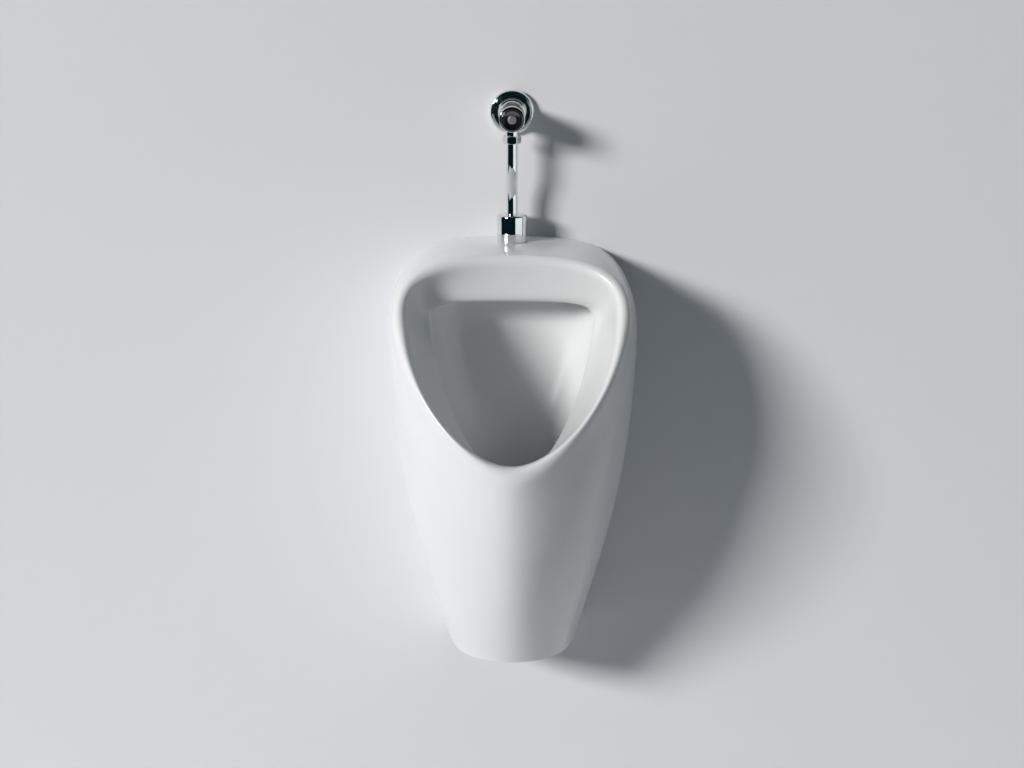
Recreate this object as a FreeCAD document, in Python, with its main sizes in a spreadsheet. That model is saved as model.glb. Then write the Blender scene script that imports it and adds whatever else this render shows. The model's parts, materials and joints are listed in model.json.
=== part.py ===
"""Wall hung urinal with its push-button flush valve, flush pipe, bottle trap and wall fixings.

Millimetres. +X is right as seen from the room, -Y points out of the wall into the room, +Z is up.
The wall is the plane Y = 0, and the origin is on it, midway between the two upper fixing screws.
"""

import FreeCAD, Part
import math
import os
import re
import Sketcher
from FreeCAD import Placement, Rotation, Vector

# Driving dimensions. Each becomes a cell of the sheet, and the model reads them from there.
SIZES = {
    # where things are: distances out from the wall, and heights from the ceramic's top
    "top_height": 70,           # the ceramic's top above the origin
    "fixing_half_gap": 75,      # from the centreline to each fixing screw
    "body_drop": 523,           # the ceramic's height
    "inlet_out": 36,            # flush pipe's axis where it enters the ceramic
    "valve_rise": 160,          # valve's axis above the ceramic's top
    "outlet_out": 44,           # the valve's outlet
    "drain_out": 105,           # drain and trap
    "seat_drop": 352,           # seat of the waste fitting in the bowl
    "trap_drop": 438,           # the trap's outlet
    # the ceramic
    "wall_thickness": 12,
    "hollow_drop": 50,          # solid ceramic above the hollow back
    "boss_thickness": 20,       # ceramic round the drain
    "boss_radius": 52,
    "drain_bore_radius": 23.5,
    "drain_seat_radius": 34,
    "inlet_bore_radius": 13,
    "inlet_bore_depth": 42,
    "ear_height": 34,           # the two ears that the lower bolts go through
    "ear_thickness": 12,
    "ear_inner": 58,
    "ear_outer": 110,
    "lower_fixing_drop": 435,
    "lower_hole_radius": 5.5,
    # waste fitting, heights from its seat
    "gasket_thickness": 2,
    "gasket_bore": 22,
    "flange_radius": 32,
    "flange_thickness": 3.5,
    "tail_radius": 20.95,
    "tail_wall": 3,
    "tail_length": 53,
    "recess_radius": 19.8,
    "recess_level": 1,
    "bar_width": 3,
    "bar_depth": 6,
    "bar_level": 14,
    "bar_boss_radius": 4.5,
    "grid_radius": 19.5,
    "grid_thickness": 1.6,
    "grid_crown": 1.8,
    "grid_screw_radius": 2,
    "grid_head_radius": 4,
    "grid_head": 2.3,
    "slot_width": 0.9,
    "slot_depth": 1,
    "inner_hole_ring": 7.5,
    "inner_hole_radius": 1.9,
    "outer_hole_ring": 14,
    "outer_hole_radius": 2.6,
    "hole_count": 8,
    "waste_washer_thickness": 3,
    "waste_washer_radius": 33,
    "waste_nut_height": 9,
    "waste_nut_flats": 56,
    # bottle trap, heights from its outlet's axis
    "head_radius": 34,
    "head_wall": 3,
    "head_bottom": 30,
    "head_top": 25,
    "deck_thickness": 5,
    "collar_radius": 26,
    "collar_bore": 21.4,
    "collar_top": 46,
    "branch_radius": 23.5,
    "branch_bore": 20.3,
    "branch_length": 65,
    "dip_radius": 18.2,
    "dip_wall": 1.5,
    "dip_bottom": 54,
    "cup_radius": 32,
    "cup_wall": 3.5,
    "cup_bottom": 76,
    "cup_neck_top": 18,
    "cup_flange_radius": 36,
    "cup_flange_thickness": 4,
    "cup_seal_thickness": 2,
    "slip_nut_radius": 30.5,
    "slip_nut_height": 16,
    "slip_lip": 3,
    "slip_seal_thickness": 3,
    "grip_count": 12,
    "grip_radius": 3,
    "outlet_radius": 20,
    "outlet_wall": 3,
    "outlet_tail": 60,
    "outlet_inside": 56,
    "bead_out": 4,
    "shoulder_step": 1.5,       # collars on the two tubes that go into the wall
    "shoulder_width": 2.5,
    # flush pipe and its cover cup, heights from the ceramic's top
    "pipe_radius": 7,
    "pipe_wall": 1,
    "pipe_low": 14,
    "bend_low": 50,
    "bend_high": 104,
    "pipe_high": 138,
    "cover_radius": 18.75,
    "cover_height": 34.8,
    "cover_wall": 1.2,
    "cover_gap": 0.2,
    "cover_round": 3,
    "spud_flange_radius": 17,
    "spud_depth": 24,
    "spud_flange": 3,
    "spud_lip": 5,
    "spreader_top": 15,
    "spreader_deck": 34,
    "spreader_bottom": 37,
    "spreader_radius": 11.5,
    "spreader_hole": 1.7,
    "spreader_hole_drop": 29,
    "union_flats": 20,
    "union_low": 125.4,
    "union_high": 135.4,
    "union_lip": 3.1,
    "regulator_low": 138.5,
    "regulator_high": 142,
    "regulator_bore": 1.5,
    "regulator_hole_ring": 4.4,
    "breaker_low": 142.2,
    "breaker_flange": 145.2,
    "breaker_high": 146.6,
    "breaker_bore": 1.2,
    "breaker_root": 4.4,
    # flush valve, distances out from the wall
    "rosette_radius": 28,
    "collar_back_radius": 17.5,
    "body_back": 4,
    "body_step": 16,
    "body_radius": 15,
    "body_front": 60,
    "body_bore": 12.6,
    "thread_radius": 13.9,
    "thread_start": 54,
    "socket_radius": 10.55,
    "socket_depth": 20,
    "seat_out": 33.2,
    "seat_wall": 29,
    "seat_radius": 5.5,
    "seat_washer_radius": 9.2,
    "neck_radius": 8.5,
    "neck_bore": 7.2,
    "neck_drop": 29.5,
    "nipple_radius": 10.48,
    "nipple_wall": 2.5,
    "nipple_back": 30,
    "nipple_front": 18,
    "filter_back": 20.4,
    "filter_tip": 25,
    "filter_wall": 1,
    "filter_radius": 9.3,
    "filter_root_radius": 8.2,
    "filter_tip_radius": 6.4,
    "filter_hole_ring": 3.8,
    "small_hole_radius": 0.9,
    "sleeve_radius": 12.5,
    "sleeve_bore": 10.5,
    "sleeve_back": 36,
    "sleeve_deck": 57,
    "window_drop": 6,            # windows in the sleeve, out from the valve's seat
    "window_radius": 3,
    "piston_radius": 10.42,
    "piston_back": 36.2,
    "piston_front": 48,
    "piston_bore": 2.6,
    "seal_groove_back": 43.2,
    "seal_groove_front": 45.8,
    "seal_groove_radius": 8.6,
    "stem_radius": 2.5,
    "stem_back": 34,
    "bonnet_radius": 16,
    "bonnet_front": 82.5,
    "bonnet_bore": 13.6,
    "bonnet_shoulder": 61.6,
    "button_radius": 13.3,
    "button_back": 70,
    "button_front": 88.4,
    "button_plate": 83,
    "insert_radius": 5.3,
    "insert_back": 85.6,
    "main_spring_radius": 5.2,
    "main_spring_wire": 0.6,
    "main_spring_pitch": 3,
    "button_spring_radius": 5.5,
    "button_spring_wire": 0.5,
    "button_spring_pitch": 3.8,
    # wall fixings
    "hanger_width": 40,
    "hanger_plate": 3,
    "hanger_foot": 22,
    "hanger_shelf": 22,
    "hanger_reach": 12,
    "hanger_tongue": 32,
    "screw_radius": 3.9,
    "wall_thread_radius": 4.1,
    "screw_depth": 46,
    "screw_flats": 13,
    "screw_head": 5.5,
    "bolt_reach": 30,
    "lower_washer_thickness": 2.5,
    "lower_washer_radius": 9,
    "lower_nut_height": 6.5,
}

# The ceramic's skin is a smooth surface drawn through rings, from the wall round the rim and down the bowl
# to the drain. A ring crosses the centreline at its top and bottom and is widest at its side. For each of
# these the table gives how far it is above the ceramic's top ("up") and out from the wall ("out"). "upper"
# and "lower" say how square the ring's two halves are: 2 is an ellipse, more is squarer, less is more pointed.
RING_FIELDS = ("top_up", "top_out", "half_width", "side_up", "side_out", "bottom_up", "bottom_out",
               "upper", "lower")
SKIN = {
    "wall":        (0, 0, 152, -120, 0, -688, 0, 3.6, 1.49),
    "edge":        (0, 6, 153, -120, 8, -688, 14, 3.6, 1.49),
    "flank":       (0, 34, 155, -120, 42, -686, 48, 3.6, 1.49),
    "belly":       (0, 66, 156, -118, 80, -640, 92, 3.5, 1.51),
    "skirt":       (-1, 88, 156, -112, 112, -523, 150, 3.4, 1.9),
    "cheek":       (-2, 100, 154.5, -104, 137, -447, 212, 3.3, 1.66),
    "chest":       (-3, 106, 152, -94, 157, -360, 264, 3.2, 1.59),
    "rim_root":    (-4, 110.5, 148.2, -84, 169, -263, 296.8, 3.1, 1.56),
    "rim_outer":   (-2, 115.5, 146.5, -77, 177.5, -246, 305, 3, 1.55),
    "rim_crest":   (-5, 121, 140.5, -71, 183, -229, 302.5, 2.9, 1.6),
    "rim_inner":   (-12, 121.5, 132, -67, 178.5, -227, 288, 2.8, 1.72),
    "rim_fall":    (-21, 118, 126.5, -68, 164, -232, 272, 2.9, 1.74),
    "hood_face":   (-40, 112, 121, -78, 144, -245, 252, 3.6, 1.65),
    "hood_low":    (-56, 108, 116, -88, 124, -259, 234, 4.2, 1.5),
    "lip_front":   (-63, 104, 110, -92, 112, -272, 222, 4.4, 1.45),
    "lip_edge":    (-66, 98, 103, -94, 106, -284, 212, 4.4, 1.45),
    "lip_back":    (-61, 92, 101, -94, 100, -292, 204, 3.4, 1.5),
    "undercut":    (-46, 84, 106, -94, 90, -304, 192, 3, 1.6),
    "chamber":     (-32, 66, 108, -98, 72, -322, 177, 2.8, 1.7),
    "back_top":    (-36, 42, 96, -116, 50, -336, 162, 2.6, 1.8),
    "back":        (-70, 30, 74, -158, 39, -346, 152, 2.4, 1.9),
    "back_low":    (-150, 29, 53, -218, 46, -350, 148, 2.2, 2),
    "sump":        (-270, 42, 41, -310, 80, -352, 145, 2, 2),
    "drain":       (-340, 68, 37, -346, 105, -352, 142, 2, 2),
}
# The hollow between the skin and the bowl is a core less the bowl's back. The core follows the first
# seven rings of the skin one wall thickness further in, and these two close its front.
CORE_FRONT = {
    "turn":       (-20, 100, 128, -96, 158, -290, 270, 3.1, 1.56),
    "inside":     (-60, 100, 90, -130, 163, -250, 271, 2.6, 1.6),
}
CORE_RINGS = 7
BOWL_BACK = {
    "open_end":    (0, 150, 150, -110, 227, -230, 311, 3, 1.6),
    "rim":         (-2, 138, 148, -84, 182, -244, 298, 3, 1.6),
    "fall":        (-8, 130, 142, -74, 162, -250, 284, 2.9, 1.65),
    "face":        (-26, 123, 135, -80, 140, -259, 264, 2.9, 1.65),
    "ledge":       (-30, 110, 129, -90, 118, -274, 242, 3, 1.55),
    "side":        (-28, 98, 122, -94, 96, -302, 214, 2.9, 1.55),
    "chamber":     (-20, 72, 121, -98, 72, -334, 188, 2.8, 1.65),
    "back_top":    (-22, 34, 110, -114, 40, -352, 172, 2.6, 1.75),
    "back":        (-64, 17, 88, -158, 26, -364, 161, 2.4, 1.85),
    "back_low":    (-150, 16, 67, -222, 32, -370, 155, 2.2, 2),
    "sump":        (-276, 29, 55, -318, 66, -374, 151, 2, 2),
    "boss":        (-360, 60, 47, -369, 104, -377, 149, 2, 2),
    "boss_end":    (-372, 60, 45, -373, 105, -374, 150, 2, 2),
}
RING_POINTS = 32                # points round each ring
BACK_START = 3                  # the core starts this far behind the wall plane, so that the back is open

# The rosette's dished face, from its rim to its hole, and the back of the same sheet of metal: how far each
# point is in from the rim's radius, and how far it is out from the wall.
ROSETTE_FIELDS = ("inset", "rise", "back_inset", "back_rise")
ROSETTE = {
    "rim":      (0, 0, 1.1, 0),
    "side":     (0, 6.2, 1.1, 4.5),
    "shoulder": (1.4, 8.6, 1.6, 6.6),
    "crest":    (2.8, 9, 2.6, 7.6),
    "fall":     (3.8, 8, 3.4, 6.8),
    "step":     (4.4, 6.9, 4.1, 5.9),
    "dish":     (9, 6.2, 9, 5.1),
    "hole":     (10.3, 6, 10.3, 4.9),
}

doc = FreeCAD.newDocument("wall_hung_urinal")
sheet = doc.addObject("Spreadsheet::Sheet", "sizes")
cells = {}                      # what the sheet holds, by name
parts = []                      # every finished sub-part, in the order it is made


# ---------------------------------------------------------------- the sheet

def fill_sheet():
    """Writes every driving dimension to the sheet, one row each, under its own name."""
    cells.update(SIZES)
    for table, fields, rows in (("skin", RING_FIELDS, SKIN), ("core", RING_FIELDS, CORE_FRONT),
                                ("bowl", RING_FIELDS, BOWL_BACK), ("rosette", ROSETTE_FIELDS, ROSETTE)):
        for row, values in rows.items():
            for field, value in zip(fields, values):
                cells[f"{table}_{row}_{field}"] = value
    for row, (name, value) in enumerate(cells.items(), start=1):
        sheet.set(f"A{row}", name)
        sheet.set(f"B{row}", str(value))
        sheet.setAlias(f"B{row}", name)
    doc.recompute()


def bound(text):
    """An expression on the sheet's cells, from one that uses their bare names."""
    return re.sub(r"[a-z_]+", lambda word: f"sizes.{word[0]}" if word[0] in cells else word[0], text)


def number(text):
    """The present value of an expression."""
    return float(sheet.evalExpression(bound(text)))


# ---------------------------------------------------------------- sketches and features

UPRIGHT = Rotation()                                # a piece's own Z is up
OUTWARD = Rotation(Vector(1, 0, 0), 90)             # a piece's own Z points out of the wall, its own Y up
INLET = ("0", "-inlet_out", "top_height")
SEAT = ("0", "-drain_out", "top_height - seat_drop")
TRAP = ("0", "-drain_out", "top_height - trap_drop")
BRANCH = ("0", "0", "top_height - trap_drop")
UNION = ("0", "-outlet_out", "top_height")
VALVE = ("0", "0", "top_height + valve_rise")
HANGER = ("-fixing_half_gap", "0", "0")
LOWER = ("-fixing_half_gap", "0", "top_height - lower_fixing_drop")


def place(thing, where, turn):
    """Puts a piece at a spot that is given by three expressions."""
    thing.Placement = Placement(Vector(*(number(text) for text in where)), turn)
    for axis, text in zip("xyz", where):
        thing.setExpression(f"Placement.Base.{axis}", bound(text))


def new_body(name, where=("0", "0", "0"), turn=UPRIGHT):
    body = doc.addObject("PartDesign::Body", name)
    place(body, where, turn)
    return body


def finish(thing, name):
    """Labels a finished sub-part and keeps it for export."""
    thing.Label = name
    parts.append(thing)
    return thing


def new_sketch(body, plane, shift="0"):
    """A sketch on one of the body's own origin planes, moved along its normal."""
    sketch = body.newObject("Sketcher::SketchObject", body.Name + "_sketch")
    origin_plane = next(item for item in body.Origin.OriginFeatures if item.Role == plane)
    sketch.AttachmentSupport = [(origin_plane, "")]
    sketch.MapMode = "FlatFace"
    sketch.AttachmentOffset = Placement(Vector(0, 0, number(shift)), UPRIGHT)
    sketch.setExpression("AttachmentOffset.Base.z", bound(shift))
    return sketch


def pin_point(sketch, geometry, end, across, up):
    """Holds one point of a sketch at two expressions."""
    for kind, text in (("DistanceX", across), ("DistanceY", up)):
        index = sketch.addConstraint(Sketcher.Constraint(kind, -1, 1, geometry, end, number(text)))
        sketch.setExpression(f"Constraints[{index}]", bound(text))


def add_outline(sketch, points):
    """A closed outline of straight lines through points that are pairs of expressions."""
    spots = [Vector(number(across), number(up), 0) for across, up in points]
    first = sketch.GeometryCount
    for index, spot in enumerate(spots):
        sketch.addGeometry(Part.LineSegment(spot, spots[(index + 1) % len(spots)]), False)
    for index, (across, up) in enumerate(points):
        follower = first + (index + 1) % len(points)
        sketch.addConstraint(Sketcher.Constraint("Coincident", first + index, 2, follower, 1))
        pin_point(sketch, first + index, 1, across, up)


def add_circle(sketch, across, up, radius):
    circle = Part.Circle(Vector(number(across), number(up), 0), Vector(0, 0, 1), number(radius))
    index = sketch.addGeometry(circle, False)
    pin_point(sketch, index, 3, across, up)
    held = sketch.addConstraint(Sketcher.Constraint("Radius", index, number(radius)))
    sketch.setExpression(f"Constraints[{held}]", bound(radius))


def hexagon(flats):
    """The corners of a hexagon with two flats parallel to X, as expressions."""
    corner = f"{flats} / 2 / cos(30)"
    return [(f"{corner} * cos({60 * step})", f"{corner} * sin({60 * step})") for step in range(6)]


def extrude(body, sketch, length, kind="PartDesign::Pad", backwards=False, both_ways=False):
    """A pad or a pocket. It stops the build where it adds or cuts nothing."""
    doc.recompute()
    before = body.Shape.Volume if body.Tip else 0
    step = body.newObject(kind, body.Name + "_step")
    step.Profile = sketch
    step.Length = number(length)
    step.setExpression("Length", bound(length))
    step.Reversed = backwards
    step.Midplane = both_ways
    doc.recompute()
    if abs(body.Shape.Volume - before) < 1e-3:
        raise RuntimeError(f"{body.Name}: a step changes nothing")
    return step


def pocket(body, sketch, length, backwards=False, both_ways=False):
    return extrude(body, sketch, length, "PartDesign::Pocket", backwards, both_ways)


def round_edges(body, radius, edges):
    """Rounds the body's circular edges that are at these (radius, height) places."""
    doc.recompute()
    base = body.Tip
    names = []
    for index, edge in enumerate(base.Shape.Edges, start=1):
        if not isinstance(edge.Curve, Part.Circle):
            continue
        for across, up in edges:
            if abs(edge.Curve.Radius - number(across)) < 1e-3 and abs(edge.Curve.Center.z - number(up)) < 1e-3:
                names.append(f"Edge{index}")
    rounded = body.newObject("PartDesign::Fillet", body.Name + "_round")
    rounded.Base = (base, names)
    rounded.Radius = number(radius)
    rounded.setExpression("Radius", bound(radius))
    return rounded


def turn_profile(body, sketch):
    step = body.newObject("PartDesign::Revolution", body.Name + "_turn")
    step.Profile = sketch
    step.ReferenceAxis = (sketch, ["V_Axis"])
    step.Angle = 360


def revolve(body, points):
    """A solid turned about the body's own Z, from an outline of (radius, height) pairs."""
    sketch = new_sketch(body, "XZ_Plane")
    add_outline(sketch, points)
    turn_profile(body, sketch)


def turned(name, where, points, turn=UPRIGHT):
    """A whole sub-part that is one turned solid."""
    body = new_body(name, where, turn)
    revolve(body, points)
    return finish(body, name)


def ring(name, where, inner, outer, low, high, turn=UPRIGHT):
    """A plain ring, tube or washer."""
    return turned(name, where, [(inner, low), (outer, low), (outer, high), (inner, high)], turn)


def shouldered_tube(name, where, radius, wall, ends, collar):
    """A tube that points into the wall, with a collar round it; ends and collar are (back, front) pairs."""
    bore = f"{radius} - {wall}"
    shoulder = f"{radius} + shoulder_step"
    turned(name, where, [(bore, ends[0]), (radius, ends[0]), (radius, collar[0]), (shoulder, collar[0]),
                         (shoulder, collar[1]), (radius, collar[1]), (radius, ends[1]),
                         (bore, ends[1])], OUTWARD)


def spread(body, step, count):
    """Repeats a step round the body's own Z."""
    doc.recompute()
    before = body.Shape.Volume
    pattern = body.newObject("PartDesign::PolarPattern", body.Name + "_pattern")
    pattern.Originals = [step]
    pattern.Axis = (step.Profile[0], ["N_Axis"])
    pattern.Angle = 360
    pattern.Occurrences = int(number(count))
    pattern.setExpression("Occurrences", bound(count))
    body.Tip = pattern
    doc.recompute()
    if abs(body.Shape.Volume - before) < 1e-3:
        raise RuntimeError(f"{body.Name}: a pattern changes nothing")


def coil(name, where, radius, wire, pitch, low, high, turn):
    """A coil spring about the body's own Z."""
    body = new_body(name, where, turn)
    sketch = new_sketch(body, "XZ_Plane")
    add_circle(sketch, radius, f"{low} + {wire}", wire)
    helix = body.newObject("PartDesign::AdditiveHelix", name + "_helix")
    helix.Profile = sketch
    helix.ReferenceAxis = (sketch, ["V_Axis"])
    helix.Mode = "pitch-height-angle"
    helix.Pitch = number(pitch)
    helix.setExpression("Pitch", bound(pitch))
    helix.Height = number(f"{high} - {low} - 2 * {wire}")
    helix.setExpression("Height", bound(f"{high} - {low} - 2 * {wire}"))
    return finish(body, name)


def hex_nut(name, where, flats, bore, low, high, turn=UPRIGHT):
    """A hexagon nut whose corners are turned off at both ends."""
    body = new_body(name + "_blank", where, turn)
    corner = f"({flats} / 2 / cos(30))"
    ease = f"({flats} * 0.06)"
    revolve(body, [(bore, low), (f"{flats} / 2", low), (corner, f"{low} + {ease}"),
                   (corner, f"{high} - {ease}"),
                   (f"{flats} / 2", high), (bore, high)])
    prism = new_body(name + "_hexagon", where, turn)
    sketch = new_sketch(prism, "XY_Plane", low)
    add_outline(sketch, hexagon(flats))
    extrude(prism, sketch, f"{high} - ({low})")
    nut = doc.addObject("Part::MultiCommon", name)
    nut.Shapes = [body, prism]
    return finish(nut, name)


def slip_nut(name, where, turn, thread, lip_bore, low, step, high):
    """A hand nut with finger grooves: a threaded skirt up to the step, then a lip over the seal."""
    body = new_body(name, where, turn)
    revolve(body, [(thread, low), ("slip_nut_radius", low), ("slip_nut_radius", high), (lip_bore, high),
                   (lip_bore, step), (thread, step)])
    sketch = new_sketch(body, "XY_Plane", f"{low} - 1")
    add_circle(sketch, "slip_nut_radius + grip_radius * 0.55", "0", "grip_radius")
    groove = pocket(body, sketch, "slip_nut_height * 2", backwards=True)
    spread(body, groove, "grip_count")
    return finish(body, name)


def pair(name, left):
    """A left piece and its mirror image on the right, as one group of two solids."""
    right = doc.addObject("Part::Mirroring", name + "_right")
    right.Source = left
    right.Base = Vector(0, 0, 0)
    right.Normal = Vector(1, 0, 0)
    group = doc.addObject("Part::Compound", name)
    group.Links = [left, right]
    return finish(group, name)


# ---------------------------------------------------------------- the ceramic

def parabola(at, points):
    """The value at a height, on the parabola through three (height, value) pairs."""
    total = 0.0
    for index, (height, value) in enumerate(points):
        share = value
        for other, (elsewhere, _) in enumerate(points):
            if other != index:
                share *= (at - elsewhere) / (height - elsewhere)
        total += share
    return total


def ring_points(table, name):
    """The points of one ring, anticlockwise from its right side as seen from the room."""
    top_up, top_out, half_width, side_up, side_out, bottom_up, bottom_out, upper, lower = (
        number(f"{table}_{name}_{field}") for field in RING_FIELDS)
    points = []
    for index in range(RING_POINTS):
        angle = 2 * math.pi * index / RING_POINTS
        across, up = math.cos(angle), math.sin(angle)
        square = upper if up >= 0 else lower
        stretch = (abs(across) ** square + abs(up) ** square) ** (-1 / square)
        reach = top_up - side_up if up >= 0 else side_up - bottom_up
        height = side_up + reach * stretch * up
        out = parabola(height, [(top_up, top_out), (side_up, side_out), (bottom_up, bottom_out)])
        points.append(Vector(half_width * stretch * across, -out, height))
    return points


def shrunk(rings, distance):
    """Rings moved into the body by a distance, square to the surface through them."""
    moved = []
    for row, points in enumerate(rings):
        ahead = rings[min(row + 1, len(rings) - 1)]
        behind = rings[max(row - 1, 0)]
        shifted = []
        for index, point in enumerate(points):
            along = ahead[index] - behind[index]
            around = points[(index + 1) % RING_POINTS] - points[index - 1]
            inward = along.cross(around)
            if row == 0:
                inward.y = 0                        # the ring on the wall stays on the wall
            shifted.append(point + inward.normalize() * distance)
        moved.append(shifted)
    return moved


def skin_solid(rings):
    """The solid inside a smooth surface that is drawn over the rings, closed by flat faces at its two ends."""
    columns = [[points[index] for points in rings] for index in range(RING_POINTS)]
    spans = len(rings) - 3
    round_knots = [float(knot) for knot in range(RING_POINTS + 1)]
    along_knots = [float(knot) for knot in range(spans + 1)]
    surface = Part.BSplineSurface()
    surface.buildFromPolesMultsKnots(columns, [1] * len(round_knots), [4] + [1] * (spans - 1) + [4],
                                     round_knots, along_knots, True, False, 3, 3)
    skin = surface.toShape()
    ends = [edge for edge in skin.Edges if edge.isClosed()]
    caps = [Part.Face(Part.Wire(edge)) for edge in ends]
    shell = Part.Shell([skin] + caps)
    shell.sewShape()
    solid = Part.Solid(shell)
    solid.fix(1e-5, 1e-5, 1e-5)
    if solid.Volume < 0:
        solid.reverse()
    return solid


def raised(name, shape, up):
    """A document object that holds a ready shape, raised by an expression."""
    thing = doc.addObject("Part::Feature", name)
    thing.Shape = shape
    place(thing, ("0", "0", up), UPRIGHT)
    return thing


def cut(name, base, tool):
    thing = doc.addObject("Part::Cut", name)
    thing.Base = base
    thing.Tool = tool
    return thing


def fuse(name, pieces):
    thing = doc.addObject("Part::MultiFuse", name)
    thing.Shapes = pieces
    return thing


def box(name, low, high):
    """A box between two corners that are given by expressions."""
    thing = doc.addObject("Part::Box", name)
    for side, near, far in zip(("Length", "Width", "Height"), low, high):
        setattr(thing, side, number(f"{far} - ({near})"))
        thing.setExpression(side, bound(f"{far} - ({near})"))
    place(thing, low, UPRIGHT)
    return thing


def rod(name, where, radius, low, high, turn=UPRIGHT):
    """A cylinder from low to high along the local axis of a spot."""
    thing = doc.addObject("Part::Cylinder", name)
    thing.Radius = number(radius)
    thing.setExpression("Radius", bound(radius))
    thing.Height = number(f"{high} - ({low})")
    thing.setExpression("Height", bound(f"{high} - ({low})"))
    shift = turn.multVec(Vector(0, 0, 1))
    spot = [f"{base} + ({low}) * {step:.0f}" for base, step in zip(where, shift)]
    place(thing, spot, turn)
    return thing


def hollow():
    """The space between the skin and the bowl, open to the wall and to the floor."""
    skin = [ring_points("skin", name) for name in list(SKIN)[:CORE_RINGS]]
    core_rings = shrunk(skin, number("wall_thickness"))
    core_rings[0] = [Vector(point.x, BACK_START, point.z) for point in core_rings[0]]
    core_rings += [ring_points("core", name) for name in CORE_FRONT]
    core = raised("core", skin_solid(core_rings), "top_height")
    bowl = raised("bowl_back", skin_solid([ring_points("bowl", name) for name in BOWL_BACK]), "top_height")
    block = box("solid_top", ("-200", "-400", "top_height - hollow_drop"), ("200", "50", "top_height + 50"))
    return cut("hollow", cut("core_below_top", core, block), bowl)


def ears(skin):
    """The two ears at the foot of the back, which the lower bolts go through."""
    low = ("ear_inner", "-ear_thickness", "top_height - lower_fixing_drop - ear_height / 2")
    high = ("ear_outer", "0", "top_height - lower_fixing_drop + ear_height / 2")
    right = box("ear_block", low, high)
    left = doc.addObject("Part::Mirroring", "ear_block_left")
    left.Source = right
    left.Normal = Vector(1, 0, 0)
    both = doc.addObject("Part::Compound", "ear_blocks")
    both.Links = [right, left]
    thing = doc.addObject("Part::MultiCommon", "ears")
    thing.Shapes = [both, skin]
    return thing


def hanger_slots():
    """Pockets behind the top edge for the two hangers, each with a slot for the hanger's tongue."""
    wide = "(hanger_width / 2 + 6)"
    tools = []
    for side in ("-", ""):
        centre = f"{side}fixing_half_gap"
        ceiling = "hanger_shelf"
        tools.append(box("hanger_pocket", (f"{centre} - {wide}", "-hanger_reach - 2", "-hanger_foot - 4"),
                         (f"{centre} + {wide}", "1", ceiling)))
        tools.append(box("tongue_slot", (f"{centre} - {wide} + 2", "-hanger_reach - 1", ceiling),
                         (f"{centre} + {wide} - 2", "-hanger_reach + hanger_plate + 1", "hanger_tongue + 2")))
    return tools


def ceramic_body():
    skin = raised("skin", skin_solid([ring_points("skin", name) for name in SKIN]), "top_height")
    shell = cut("shell", skin, hollow())
    body = fuse("shell_with_ears", [shell, ears(skin)])
    tools = hanger_slots()
    tools.append(box("below_foot", ("-200", "-400", "top_height - 700"),
                     ("200", "50", "top_height - body_drop")))
    tools.append(rod("inlet_bore", INLET, "inlet_bore_radius", "-inlet_bore_depth", "10"))
    tools.append(rod("drain_bore", SEAT, "drain_bore_radius", "-60", "1"))
    tools.append(rod("drain_seat", SEAT, "drain_seat_radius", "0", "16"))
    tools.append(rod("boss_face", SEAT, "boss_radius", "-60", "-boss_thickness"))
    for side in ("-", ""):
        spot = (f"{side}fixing_half_gap", "0", "top_height - lower_fixing_drop")
        tools.append(rod("lower_hole", spot, "lower_hole_radius", "-5", "20", OUTWARD))
    return finish(cut("ceramic", body, fuse("ceramic_tools", tools)), "ceramic_body")


# ---------------------------------------------------------------- waste fitting

def drain_gasket():
    ring("drain_gasket", SEAT, "gasket_bore", "flange_radius", "0", "gasket_thickness")


def waste_tail():
    """Flanged tube through the drain, with cross bars that hold the strainer's screw."""
    body = new_body("waste_tail", SEAT)
    bore = "tail_radius - tail_wall"
    top = "gasket_thickness + flange_thickness"
    revolve(body, [(bore, "-tail_length"), ("tail_radius", "-tail_length"),
                   ("tail_radius", "gasket_thickness"),
                   ("flange_radius", "gasket_thickness"), ("flange_radius", f"{top} - 1.5"),
                   ("flange_radius - 2", top),
                   ("recess_radius", top), ("recess_radius", "recess_level"), (bore, "recess_level")])
    for across, up in ((f"({bore} + 0.5)", "(bar_width / 2)"), ("(bar_width / 2)", f"({bore} + 0.5)")):
        bar = new_sketch(body, "XY_Plane", "-bar_level")
        add_outline(bar, [(f"-{across}", f"-{up}"), (across, f"-{up}"), (across, up), (f"-{across}", up)])
        extrude(body, bar, "bar_depth")
    boss = new_sketch(body, "XY_Plane", "-bar_level")
    add_circle(boss, "0", "0", "bar_boss_radius")
    extrude(body, boss, "bar_depth")
    hole = new_sketch(body, "XY_Plane", "-bar_level - 1")
    add_circle(hole, "0", "0", "grid_screw_radius + 0.1")
    pocket(body, hole, "bar_depth + 2", backwards=True)
    finish(body, "waste_tail")


def drain_strainer():
    """A domed disc with two rings of holes."""
    body = new_body("drain_strainer", SEAT)
    centre_hole = "grid_screw_radius + 0.3"
    top = "recess_level + grid_thickness"
    half = "grid_radius * 0.55"
    revolve(body, [(centre_hole, "recess_level + grid_crown"), (half, "recess_level + grid_crown * 0.7"),
                   ("grid_radius", "recess_level"), ("grid_radius", top), (half, f"{top} + grid_crown * 0.7"),
                   (centre_hole, f"{top} + grid_crown")])
    sketch = new_sketch(body, "XY_Plane", "-1")
    add_circle(sketch, "inner_hole_ring", "0", "inner_hole_radius")
    add_circle(sketch, "outer_hole_ring * cos(22.5)", "outer_hole_ring * sin(22.5)", "outer_hole_radius")
    spread(body, pocket(body, sketch, "10", backwards=True), "hole_count")
    finish(body, "drain_strainer")


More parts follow.
